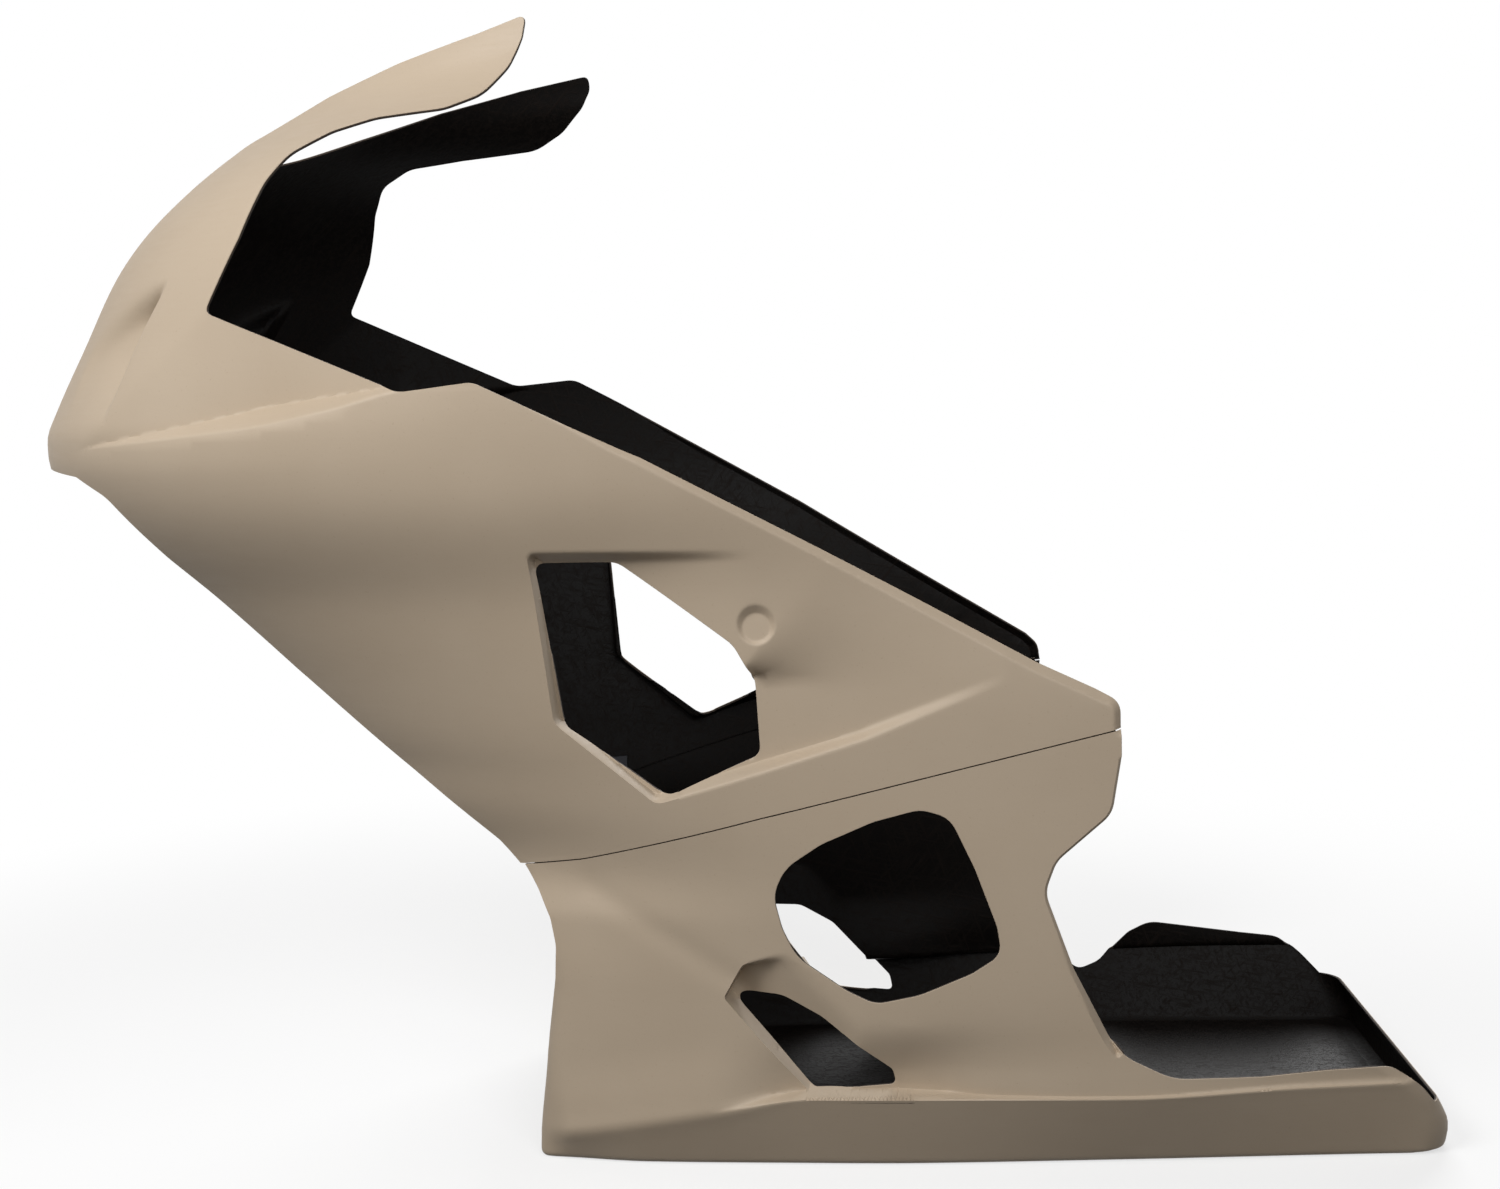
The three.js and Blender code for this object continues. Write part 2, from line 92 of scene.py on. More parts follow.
# camera
view = {
    "place": (0.1242, -1.66, 0.6126),  # metres
    "lens": 46.87,
    "sensor": 36,
    "near": 0.05,
    "yaw": 3.077,  # degrees, like the next two
    "pitch": 6.0995,
    "roll": 1.948,
}
yaw, pitch, roll = (math.radians(view[name]) for name in ("yaw", "pitch", "roll"))
forward = Vector((-math.sin(yaw) * math.cos(pitch), math.cos(yaw) * math.cos(pitch), -math.sin(pitch)))
right = Vector((math.cos(yaw), math.sin(yaw), 0))
tilt = Matrix.Rotation(roll, 3, "Y")
forward, right, up = tilt @ forward, tilt @ right, tilt @ right.cross(forward)
cameraData = bpy.data.cameras.new("camera")
cameraData.lens = view["lens"]
cameraData.sensor_width = view["sensor"]
cameraData.clip_start = view["near"]
camera = bpy.data.objects.new("camera", cameraData)
camera.matrix_world = Matrix((
    (right.x, up.x, -forward.x, view["place"][0]),
    (right.y, up.y, -forward.y, view["place"][1]),
    (right.z, up.z, -forward.z, view["place"][2]),
    (0, 0, 0, 1),
))
bpy.context.scene.collection.objects.link(camera)
bpy.context.scene.camera = camera

# the body's form, by height or by X
body = {
    "wall": 2.5,
    "noseSweep": 400,  # over this length the plan view turns from the front edge to the full width
    "noseBow": 0.53,  # a lower power makes the nose blunter
    "aftStart": -150,
    "aftLength": 450,
    "creaseBlend": 60,  # height over which the side above the crease joins the flank
    "tailCorner": 26,
    "footRadius": 5,
    "damCorner": 5,
    "damTop": 101.9,
    "frontX": [
        [0, -149], [81, -140], [149, -133], [200, -150], [243, -205], [290, -290], [332, -345], [405, -414],
        [460, -470], [500, -516], [530, -542], [553, -556], [572, -563], [590, -563], [611, -554],
        [666, -524.5], [720, -495], [753, -469], [789, -429.5], [814, -397], [849, -346], [888, -292],
        [910, -262]],
    "frontHalf": [[0, 148], [149, 152], [200, 138], [243, 80], [290, 30], [332, 0], [910, 0]],
    "fullHalf": [
        [70, 188], [150, 190], [243, 203], [300, 206], [455, 222], [545, 254], [620, 262], [737, 260],
        [790, 254], [814, 238], [835, 204], [862, 186], [910, 184]],
    "aftHalf": [[65, 199], [165, 203], [300, 208], [400, 213], [910, 213]],
    "rearX": [[0, 562], [3, 573], [17, 574], [43, 564], [81, 529], [100, 470], [130, 350]],
    "panFront": [[0, -149], [81, -140], [149, -133], [200, -150], [241, -178], [360, -230]],
    "creaseZ": [[-148, 24], [-119, 28], [-6, 49], [80, 63], [318, 63], [452, 67], [574, 68]],
    "creaseHalf": [[-148, 150], [-119, 166], [-6, 187], [80, 195], [212, 200], [318, 203], [452, 195],
                   [544, 187], [574, 180]],
    "footHalf": [[-148, 148], [-60, 161], [47, 167], [158, 171], [322, 168], [561, 162]],
    "ledge": [[-10, 0], [70, 14], [140, 20], [165, 17], [221, 6], [290, 3], [574, 3]],
    "ledgeRise": [[60, 4], [90, 2.2], [165, 2.2], [221, 1.6], [574, 1.6]],
    "creaseSoft": [[-148, 14], [20, 9], [76, 1.3], [250, 1.2], [420, 3.5], [574, 6]],
    "spread": {"frontX": 5, "fullHalf": 14, "aftHalf": 14},
}
curve = {name: through(value) for name, value in body.items() if isinstance(value, list)}
for name, spread in body["spread"].items():
    curve[name] = eased(curve[name], body[name][0][0], body[name][-1][0], spread)


def sideHalf(x, z, ledgeShare=1.0):
    t = np.clip((x - curve["frontX"](z)) / body["noseSweep"], 0, 1)
    bow = (1 - (1 - t) ** 2) ** body["noseBow"]
    fore = mix(curve["frontHalf"](z), curve["fullHalf"](z), bow)
    panel = mix(fore, curve["aftHalf"](z), smooth((x - body["aftStart"]) / body["aftLength"]))
    crease, soft = curve["creaseZ"](x), curve["creaseSoft"](x)
    rise = z - crease
    below = mix(curve["footHalf"](x), curve["creaseHalf"](x), z / crease)
    step = ledgeShare * curve["ledge"](x) * smooth(rise / curve["ledgeRise"](x))
    above = mix(curve["creaseHalf"](x) - step, panel, smooth(rise / body["creaseBlend"]))
    return mix(below, above, smooth(0.5 + rise / (2 * soft)))


# outlines in side view: [x, z, corner radius, width of the wall along the edge that follows]
edgeStep = 2.4  # spacing of the points along a cut edge
cornerShare = 0.45  # the most of a straight stretch that one corner takes up


def sampled(points, step=edgeStep, isClosed=True, isFilled=True):
    # corners rounded, straight stretches filled in; the result has columns x, z and wall width
    full = [list(p) + [0] * (4 - len(p)) for p in points]
    path = []
    for i, (x, z, radius, width) in enumerate(full):
        here, before = np.array([x, z], float), full[i - 1]
        back = np.array(before[:2]) - here
        ahead = np.array(full[(i + 1) % len(full)][:2]) - here
        isEnd = not isClosed and i in (0, len(full) - 1)
        if radius and not isEnd:
            backLength, aheadLength = np.hypot(*back), np.hypot(*ahead)
            half = math.acos(np.clip(back @ ahead / backLength / aheadLength, -1, 1)) / 2
            reach = min(radius / math.tan(half), cornerShare * backLength, cornerShare * aheadLength)
            enter, leave = here + back / backLength * reach, here + ahead / aheadLength * reach
            for t in np.linspace(0, 1, max(4, math.ceil(1.6 * reach / step)) + 1):
                point = (1 - t) ** 2 * enter + 2 * t * (1 - t) * here + t * t * leave
                path.append([*point, mix(before[3], width, t)])
        else:
            path.append([x, z, width])
    if not isFilled:
        return np.array(path)
    filled = []
    ends = path[1:] + path[:1] if isClosed else path[1:]
    for a, b in zip(path, ends):
        count = max(1, math.ceil(math.hypot(b[0] - a[0], b[1] - a[1]) / step))
        filled += [[mix(p, q, k / count) for p, q in zip(a, b)] for k in range(count)]
    if not isClosed:
        filled.append(path[-1])
    return np.array(filled)


def nearest(x, z, path, isClosed=False):
    # distance to a path, and the path's wall width at the nearest place
    a = path if isClosed else path[:-1]
    b = np.roll(path, -1, axis=0) if isClosed else path[1:]
    run = b[:, :2] - a[:, :2]
    length = np.maximum((run ** 2).sum(1), 1e-9)
    awayX, awayZ = x[:, None] - a[:, 0], z[:, None] - a[:, 1]
    t = np.clip((awayX * run[:, 0] + awayZ * run[:, 1]) / length, 0, 1)
    gap = np.hypot(awayX - t * run[:, 0], awayZ - t * run[:, 1])
    best = gap.argmin(1)
    row = np.arange(len(x))
    return gap[row, best], mix(a[best, 2], b[best, 2], t[row, best])


def isInside(x, z, path):
    inside = np.zeros(len(x), bool)
    a, b = path, np.roll(path, -1, axis=0)
    batch = 2000  # points tested at a time, to save memory
    for start in range(0, len(x), batch):
        px, pz = x[start:start + batch, None], z[start:start + batch, None]
        spans = (a[:, 1] > pz) != (b[:, 1] > pz)
        rise = np.where(a[:, 1] == b[:, 1], 1, b[:, 1] - a[:, 1])
        crossing = a[:, 0] + (pz - a[:, 1]) * (b[:, 0] - a[:, 0]) / rise
        inside[start:start + batch] = (spans & (px < crossing)).sum(1) % 2 == 1
    return inside


def wallShare(x, z, outline):
    # 0 on and outside the outline, 1 past the wall's width inside it
    share = np.zeros(len(x))
    low, high = outline[:, :2].min(0), outline[:, :2].max(0)
    near = (x > low[0]) & (x < high[0]) & (z > low[1]) & (z < high[1])
    if near.any():
        gap, width = nearest(x[near], z[near], outline, isClosed=True)
        share[near] = np.where(isInside(x[near], z[near], outline[:, :2]), smooth(gap / width), 0)
    return share


# moulded recesses
intake = {
    "deep": 23,
    "edge": [[604, -456], [626, -447], [639, -441], [676, -422], [712, -399], [724, -393]],
    "brow": [[-510, 620], [-489, 664], [-479, 678], [-453, 694], [-427, 706], [-399, 713]],
    "fall": 28,
    "floor": 66,
    "wall": 5,
    "foot": 600,
    "footRise": 60,
}
intakeEdge, intakeBrow = through(intake["edge"]), through(intake["brow"])


def intakeDepth(x, z):
    inside = intakeEdge(z) - x
    roof = smooth((intakeBrow(x) - z) / intake["fall"]) * smooth((z - intake["foot"]) / intake["footRise"])
    floor = np.clip(1 - inside / intake["floor"], 0, 1) * roof
    return intake["deep"] * floor * smooth(inside / intake["wall"])


cheek = {
    "slope": 0.23,
    "ridge": [[-484, 585], [-361, 684]],
    "ridgeLength": 158,
    "ridgeSoft": 5,
    "aftEnd": -196,
    "aftFade": 120,
    "lipSoft": 1.5,
    "meetSoft": 0.5,
    "lipSlope": 1.4,
    "lipFoot": [[-500, 580], [-484, 583.5], [-440, 587], [-400, 590], [-322, 597], [-260, 608], [-195, 621]],
}
cheekFoot = through(cheek["lipFoot"])


def cheekDepth(x, z):
    (startX, startZ), (endX, endZ) = cheek["ridge"]
    belowRidge = ((endZ - startZ) * (x - startX) - (endX - startX) * (z - startZ)) / cheek["ridgeLength"]
    fade = np.clip((cheek["aftEnd"] - x) / cheek["aftFade"], 0, 1)
    facet = cheek["slope"] * softPositive(belowRidge, cheek["ridgeSoft"]) * fade
    lip = cheek["lipSlope"] * softPositive(z - cheekFoot(x), cheek["lipSoft"])
    return softMin(facet, lip, cheek["meetSoft"])


scoop = {
    "deep": 14,
    "outline": [[-122, 499, 8, 10], [60, 495.5, 0, 10], [240, 470, 0, 20], [240, 392, 0, 9],
                [127, 348, 60, 8], [-19, 304.5, 14, 6], [-37, 299, 12, 4], [-113, 364, 14, 3]],
    "fold": {"x": 43, "z": 398, "run": 62, "rise": 40, "length": 73.8, "opens": 60},
    "foldPath": [[20, 383], [43, 398], [105, 438], [180, 486]],
    "ramp": 15,
    "rampWidens": 0.3,
    "rampTrails": 0.9,
    "foreEnd": -80,
    "foreLength": 118,
    "foreSoft": 0.12,
    "aftStart": 40,
    "aftLength": 190,
    "floorSoft": 0.04,
}
scoopOutline = sampled(scoop["outline"], step=3, isFilled=False)


def scoopDepth(x, z):
    fold = scoop["fold"]
    awayX, awayZ = x - fold["x"], z - fold["z"]
    beyond = (fold["rise"] * awayX - fold["run"] * awayZ) / fold["length"]
    along = np.maximum((fold["run"] * awayX + fold["rise"] * awayZ) / fold["length"], 0)
    ramp = scoop["ramp"] + scoop["rampWidens"] * along
    share = np.clip((beyond + ramp) / (ramp + scoop["rampTrails"] * along), 0, 1)
    folded = mix(share ** 2, smooth(share), np.clip(along / fold["opens"], 0, 1))
    above = softPositive(1 - (x - scoop["foreEnd"]) / scoop["foreLength"], scoop["foreSoft"])
    below = np.clip(1 - (x - scoop["aftStart"]) / scoop["aftLength"], 0, 1) * folded
    floor = 1 - softPositive(1 - np.maximum(above, below), scoop["floorSoft"])
    return scoop["deep"] * np.clip(floor, 0, 1) * wallShare(x, z, scoopOutline)


vent = {
    "deep": 24,
    "outline": [[8.5, 143, 4, 3], [24, 170, 10, 6], [62, 184, 0, 14], [160, 120, 0, 10], [151, 65.5, 0, 2],
                [72, 65.5, 0, 3]],
    "ramp": {"x": 62, "z": 180, "run": 102, "rise": 89, "length": 135, "slope": 0.5, "start": 4, "soft": 7},
    "floorSoft": 2,
    "clearance": 7,
    "drop": 17,  # the right vent sits this much lower, a little further aft, and turns down
    "shift": 3,
    "turn": 0.17,
    "pivot": 14,
}
ventOutline = sampled(vent["outline"], step=3, isFilled=False)


def onRight(points):
    return [[x + vent["shift"], z - vent["drop"] - vent["turn"] * (x - vent["pivot"]), *rest]
            for x, z, *rest in points]


def fromRight(x, z):
    return x - vent["shift"], z + vent["drop"] + vent["turn"] * (x - (vent["pivot"] + vent["shift"]))


def ventFloor(x, z, side, half):
    vx, vz = (x, z) if side < 0 else fromRight(x, z)
    ramp = vent["ramp"]
    inward = (ramp["run"] * (ramp["x"] - vx) + ramp["rise"] * (ramp["z"] - vz)) / ramp["length"]
    sloped = ramp["slope"] * softPositive(inward - ramp["start"], ramp["soft"])
    deep = softMin(sloped, np.full(len(x), vent["deep"]), vent["floorSoft"])
    over = sideHalf(x, np.maximum(z, curve["creaseZ"](x) + vent["clearance"]), ledgeShare=0)
    return mix(half, np.minimum(half, over - deep), wallShare(vx, vz, ventOutline))


dish = {
    "x": 45,
    "z": 436,
    "floor": 213.48,
    "flat": 10.5,
    "slope": 0.727,
    "footSoft": 0.7,
    "rimSoft": 0.5,
    "reach": 40,
}

# trims and openings in side view
trims = {
    "noseTop": 813,
    "noseFoot": 568,
    "arch": [[-499, 561], [-468, 545, 40], [-424, 495, 60], [-331, 402, 60], [-251, 328, 60], [-171, 260, 30],
             [-155, 241]],
    "arm": {
        -1: [[-335, 738, 14], [-318, 782, 40], [-302, 804, 30], [-270, 820, 40], [-235, 828, 60],
             [-178, 830, 40], [-150, 840, 30], [-131, 862, 30], [-121, 884, 20], [-118, 902, 5],
             [-157, 891, 60], [-225, 875, 60], [-288, 855, 60], [-341, 830, 60]],
        1: [[-334, 743, 14], [-320, 787, 40], [-307, 810, 30], [-279, 825, 40], [-232, 832.5, 60],
            [-165, 840.5, 50], [-139, 854.5, 40], [-119, 875, 30], [-111, 890, 15], [-112, 902, 5],
            [-171, 888.5, 60], [-241, 868.5, 60], [-309, 845, 60], [-358, 827, 60]],
    },
    "armTip": 9,  # the corner at the arm's tip
    "top": {
        -1: [[315, 372, 18], [296, 382.5, 8], [253, 403.5, 60], [98, 492, 60], [-33, 566, 30], [-48, 573, 30],
             [-151, 624.5, 16], [-206, 619, 25], [-363, 684, 6]],
        1: [[291, 362, 14], [280, 372.5, 14], [67, 505, 60], [-108, 604, 60], [-152, 628, 24],
            [-209, 623.5, 24], [-357, 696, 6]],
    },
    "seam": [[-151, 241], [-100, 250, 80], [-57, 261.5, 80], [43, 288, 120]],
    "seamEnd": {-1: [315, 351.5], 1: [293, 346.36]},
    "lowerFront": [[-140, 222, 20], [-130, 201, 20], [-126, 179, 30], [-128, 151, 40], [-136.5, 102]],
    "tailTop": 45,
    "tail": {-1: [[557, 46], [543, 64, 60]], 1: [[549, 43], [532, 61, 60]]},
    "belly": {
        -1: [[518, 81.5, 26], [470, 80, 60], [420, 76.5, 60], [352, 77, 50], [310, 98, 50], [278, 165, 60],
             [257, 226, 24], [266, 250, 26], [308, 286, 24], [315, 328, 30]],
        1: [[511, 76, 24], [477, 79.5, 40], [392, 90, 30], [372, 80, 20], [343, 52, 24], [320, 43.5, 14],
            [300, 76, 24], [262, 200, 40], [252, 226, 20], [258, 252, 20], [280, 288, 20], [290, 318, 20]],
    },
    "rearStart": {-1: 4, 1: 6},  # the corner where the pan's rear edge turns up
    "sideOpening": [[-119, 489, 8], [-57, 488, 20], [27, 423, 26], [42, 395, 26], [44, 336, 10],
                    [-31, 303.5, 18], [-107, 362, 16]],
    "outlet": [[50, 226, 30], [60, 248, 40], [88, 267, 60], [128, 284, 60], [164, 293, 26], [186, 286, 24],
               [204, 246, 60], [220, 200, 40], [223, 178, 18], [200, 163, 40], [160, 146, 60], [126, 139, 24],
               [104, 150, 60], [66, 177, 40], [56, 200, 40]],
    "vent": [[13, 142, 8], [54, 142, 24], [84, 127, 40], [138, 82, 8], [141, 69, 10], [112, 67, 30],
             [75, 67, 8]],
}

# the lap behind the seam: a tongue on the belly pan stands in a rebate behind the upper's edge
lap = {
    "gap": 0.7,
    "tongue": 3.2,
    "rebate": 4.3,
    "sink": 1.35,
    "cover": 1.0,
    "start": -143,
    "inset": 4,
    "rebateLead": 4,
    "rebateInset": 3,
    "rebateStep": 0.2,  # width of the step in the wall at the rebate's upper end
    "tongueInset": 0.5,
    "tongueStep": (-0.03, 0.09),  # the same at the tongue's foot, from the cut edge
    "lowest": 200,
}
seamStart = float(trims["seam"][0][0])
seamPath = {}
for side, end in trims["seamEnd"].items():
    seamPath[side] = sampled(trims["seam"] + [end], isClosed=False)[:, :2]


def seamAt(x, side):
    return np.interp(x, *seamPath[side].T)


def seamOffset(side, shift, start=seamStart, inset=0.0):
    # the seam's line moved up by a distance, from a start to near its rear end
    end = trims["seamEnd"][side][0] - inset
    x = np.append(np.arange(start, end - 1, edgeStep), end)
    return np.column_stack([x, seamAt(x, side) + shift])


# folds that run along a trimmed edge, each inside a window of X from, X to, Z from and Z to
folds = {
    "arm": {"slope": -0.3, "soft": 3, "by": "x", "window": (-math.inf, -100, 780, math.inf),
            "width": [[-395, 0], [-340, 10], [-286, 16], [-200, 20], [-118, 22]]},
    "top": {"slope": 0.9, "soft": 0.6, "by": "x", "window": (-115, math.inf, 340, math.inf),
            "width": [[-110, 0], [-33, 4.5], [296, 7], [315, 5]]},
    "rear": {"slope": 1.5, "soft": 0.5, "by": "z", "window": (225, 330, 75, 330),
             "width": [[80, 0], [112, 5.5], [165, 3.2], [226, 2], [290, 2]]},
}
valley = {"line": [[-95, 228], [-24, 185], [14, 160]], "deep": 1.6, "reach": 10,
          "window": (-130, 60, 120, 260)}
dent = {"x": 200, "z": 98, "deep": 2.2, "reachX": 65, "reachZ": 26, "foot": 70, "footRise": 14}
foldWidth = {name: through(fold["width"]) for name, fold in folds.items()}
noseTop = [float(curve["frontX"](trims["noseTop"])), trims["noseTop"]]
foldLine = {}
for side in (-1, 1):
    for name, points in (("arm", trims["arm"][side][trims["armTip"]:] + [noseTop]),
                         ("top", [trims["seamEnd"][side]] + trims["top"][side][:-2]),
                         ("rear", trims["belly"][side][trims["rearStart"][side]:])):
        foldLine[name, side] = sampled(points, isClosed=False, isFilled=False)
valleyLine = sampled(valley["line"], isClosed=False, isFilled=False)


def isWithin(x, z, window):
    fromX, toX, fromZ, toZ = window
    return (x > fromX) & (x < toX) & (z > fromZ) & (z < toZ)


def foldDepth(x, z, side):
    depth = np.zeros(len(x))
    for name, fold in folds.items():
        near = isWithin(x, z, fold["window"])
        gap = nearest(x[near], z[near], foldLine[name, side])[0]
        width = foldWidth[name](x[near] if fold["by"] == "x" else z[near])
        depth[near] += fold["slope"] * softPositive(width - gap, fold["soft"])
    near = isWithin(x, z, valley["window"])
    gap = nearest(x[near], z[near], valleyLine)[0]
    depth[near] += valley["deep"] * np.exp(-(gap / valley["reach"]) ** 2)
    hollow = np.exp(-((x - dent["x"]) / dent["reachX"]) ** 2 - ((z - dent["z"]) / dent["reachZ"]) ** 2)
    return depth + dent["deep"] * hollow * smooth((z - dent["foot"]) / dent["footRise"])


def skinHalf(x, z, side):
    half = sideHalf(x, z)
    half = ventFloor(x, z, side, half)
    half = half - intakeDepth(x, z) - cheekDepth(x, z) - scoopDepth(x, z) - foldDepth(x, z, side)
    fromDish = np.hypot(x - dish["x"], z - dish["z"])
    cone = dish["floor"] + dish["slope"] * softPositive(fromDish - dish["flat"], dish["footSoft"])
    return np.where(fromDish < dish["reach"], softMin(half, cone, dish["rimSoft"]), half)


# flat layouts of the two mouldings: u runs round the body, v up it
def upperPoints(u, v, side):
    front = curve["frontX"](v)
    around = np.maximum(u - front, 0)
    turn = np.minimum(around / body["noseSweep"], math.pi / 2)
    x = front + body["noseSweep"] * (1 - np.cos(turn))
    x = x + np.maximum(around - body["noseSweep"] * math.pi / 2, 0)
    half = np.where(around < 0.01, 0, skinHalf(x, v, side))
    return np.column_stack([x, side * half, v])


def upperLayout(x, z):
    front = curve["frontX"](z)
    run = x - front
    around = body["noseSweep"] * np.arccos(np.clip(1 - run / body["noseSweep"], 0, 1))
    return np.column_stack([front + around + np.maximum(run - body["noseSweep"], 0), z])


def panPlan(around, z, side):
    front, rear = curve["panFront"](z), curve["rearX"](z)
    corner, dam = body["tailCorner"], body["damCorner"]
    reach = rear - corner - front
    run = np.minimum(around, reach)
    x = front + dam * np.logaddexp(0, run / dam)
    half = skinHalf(x, z, side) - dam * np.logaddexp(0, -run / dam)
    turn = np.clip((around - reach) / corner, 0, math.pi / 2)
    x = x + corner * np.sin(turn)
    half = half - corner * (1 - np.cos(turn)) - np.maximum(around - reach - corner * math.pi / 2, 0)
    return x, half


def lowerPoints(u, v, side):
    foot = body["footRadius"]
    z = np.where(v < foot * math.pi / 2, foot * (1 - np.cos(v / foot)), v - foot * math.pi / 2 + foot)
    around = u - curve["panFront"](z)
    x, half = panPlan(around, z, side)
    nextX, nextHalf = panPlan(around + 0.2, z, side)
    lastX, lastHalf = panPlan(around - 0.2, z, side)
    runX, runHalf = nextX - lastX, nextHalf - lastHalf
    length = np.hypot(runX, runHalf)
    inset = foot - np.sqrt(np.maximum(foot ** 2 - np.maximum(foot - z, 0) ** 2, 0))
    x = x + inset * runHalf / length
    half = half - inset * runX / length
    half = np.where(np.abs(half) < 0.03, 0, half)
    return np.column_stack([x, side * half, z])


def lowerLayout(x, z):
    foot, dam, corner = body["footRadius"], body["damCorner"], body["tailCorner"]
    v = np.where(z < foot, foot * np.arccos(np.clip(1 - z / foot, -1, 1)), z - foot + foot * math.pi / 2)
    front, rear = curve["panFront"](z), curve["rearX"](z)
    run = np.maximum(x - front, 0.05)
    around = np.where(run < 60, dam * np.log(np.expm1(np.minimum(run, 60) / dam)), run)
    turn = np.arcsin(np.clip((x - rear + corner) / corner, 0, 1))
    around = np.where(x > rear - corner, rear - corner - front + corner * turn, around)
    return np.column_stack([front + around, v])


# triangulation
def rowsBeside(path, offsets):
    # copies of a sampled path, moved sideways by each offset, with a positive offset to the path's left
    run = np.gradient(path[:, :2], axis=0)
    run /= np.maximum(np.hypot(*run.T), 1e-9)[:, None]
    left = np.column_stack([-run[:, 1], run[:, 0]])
    return np.concatenate([path[:, :2] + offset * left for offset in offsets])


def apart(points, taken, reach):
    # points that keep a distance from those taken already
    tree = kdtree.KDTree(len(taken))
    for i, (u, v) in enumerate(taken):
        tree.insert((u, v, 0), i)
    tree.balance()
    free = np.array([tree.find((u, v, 0))[2] > reach for u, v in points], bool)
    points = points[free]
    cells = np.floor(points / reach).astype(int)
    first = np.unique(cells, axis=0, return_index=True)[1]
    return points[np.sort(first)]


spacing = {"beside": 0.7, "inside": 0.6, "rowHeight": 0.866}  # the last two are shares of the pitch


def triangulated(border, holes, lines, rows, pitch):
    # flat points and triangles of a sheet with this border, these holes and edges along these lines
    outlines = [border] + holes + lines
    fixed = np.concatenate(outlines)
    edges, start = [], 0
    for k, outline in enumerate(outlines):
        count = len(outline)
        last = count if k <= len(holes) else count - 1
        edges += [(start + i, start + (i + 1) % count) for i in range(last)]
        start += count

    def isOnSheet(points):
        keep = isInside(points[:, 0], points[:, 1], border)
        for hole in holes:
            keep &= ~isInside(points[:, 0], points[:, 1], hole)
        return keep

    points = fixed
    if len(rows):
        rows = rows[isOnSheet(rows)]
        points = np.concatenate([points, apart(rows, points, spacing["beside"])])
    low, high = border.min(0), border.max(0)
    across = np.arange(low[0], high[0], pitch)
    lattice = []
    for i, v in enumerate(np.arange(low[1], high[1], pitch * spacing["rowHeight"])):
        lattice.append(np.column_stack([across + (i % 2) * pitch / 2, np.full(len(across), v)]))
    lattice = np.concatenate(lattice)
    lattice = apart(lattice[isOnSheet(lattice)], points, pitch * spacing["inside"])
    points = np.concatenate([points, lattice])
    made = delaunay_2d_cdt([Vector(p) for p in points.tolist()], edges, [], 0, 1e-5)
    flat, triangles = np.array([tuple(v) for v in made[0]]), np.array(made[2])
    middle = flat[triangles].mean(1)
    triangles = triangles[isOnSheet(middle)]
    a, b, c = (flat[triangles[:, k]] for k in range(3))
    area = (b[:, 0] - a[:, 0]) * (c[:, 1] - a[:, 1]) - (b[:, 1] - a[:, 1]) * (c[:, 0] - a[:, 0])
    triangles[area < 0] = triangles[area < 0][:, ::-1]
    return flat, triangles[np.abs(area) > 1e-6]


def joined(patches):
    # one sheet from patches that share points exactly
    points, triangles, start = [], [], 0
    for place, faces in patches:
        points.append(place)
        triangles.append(faces + start)
        start += len(place)
    points, triangles = np.concatenate(points), np.concatenate(triangles)
    kept, back = np.unique(np.round(points, 3) + 0.0, axis=0, return_inverse=True)
    triangles = back.ravel()[triangles]
    whole = (triangles[:, 0] != triangles[:, 1]) & (triangles[:, 1] != triangles[:, 2])
    return kept, triangles[whole & (triangles[:, 0] != triangles[:, 2])]


def pointNormals(points, triangles):
    a, b, c = (points[triangles[:, k]] for k in range(3))
    face = np.cross(b - a, c - a)
    normals = np.zeros_like(points)
    for k in range(3):
        np.add.at(normals, triangles[:, k], face)
    return normals / np.maximum(np.linalg.norm(normals, axis=1), 1e-12)[:, None]


rim = {"round": 0.3, "set": 0.45, "sharp": 38}  # mm and degrees


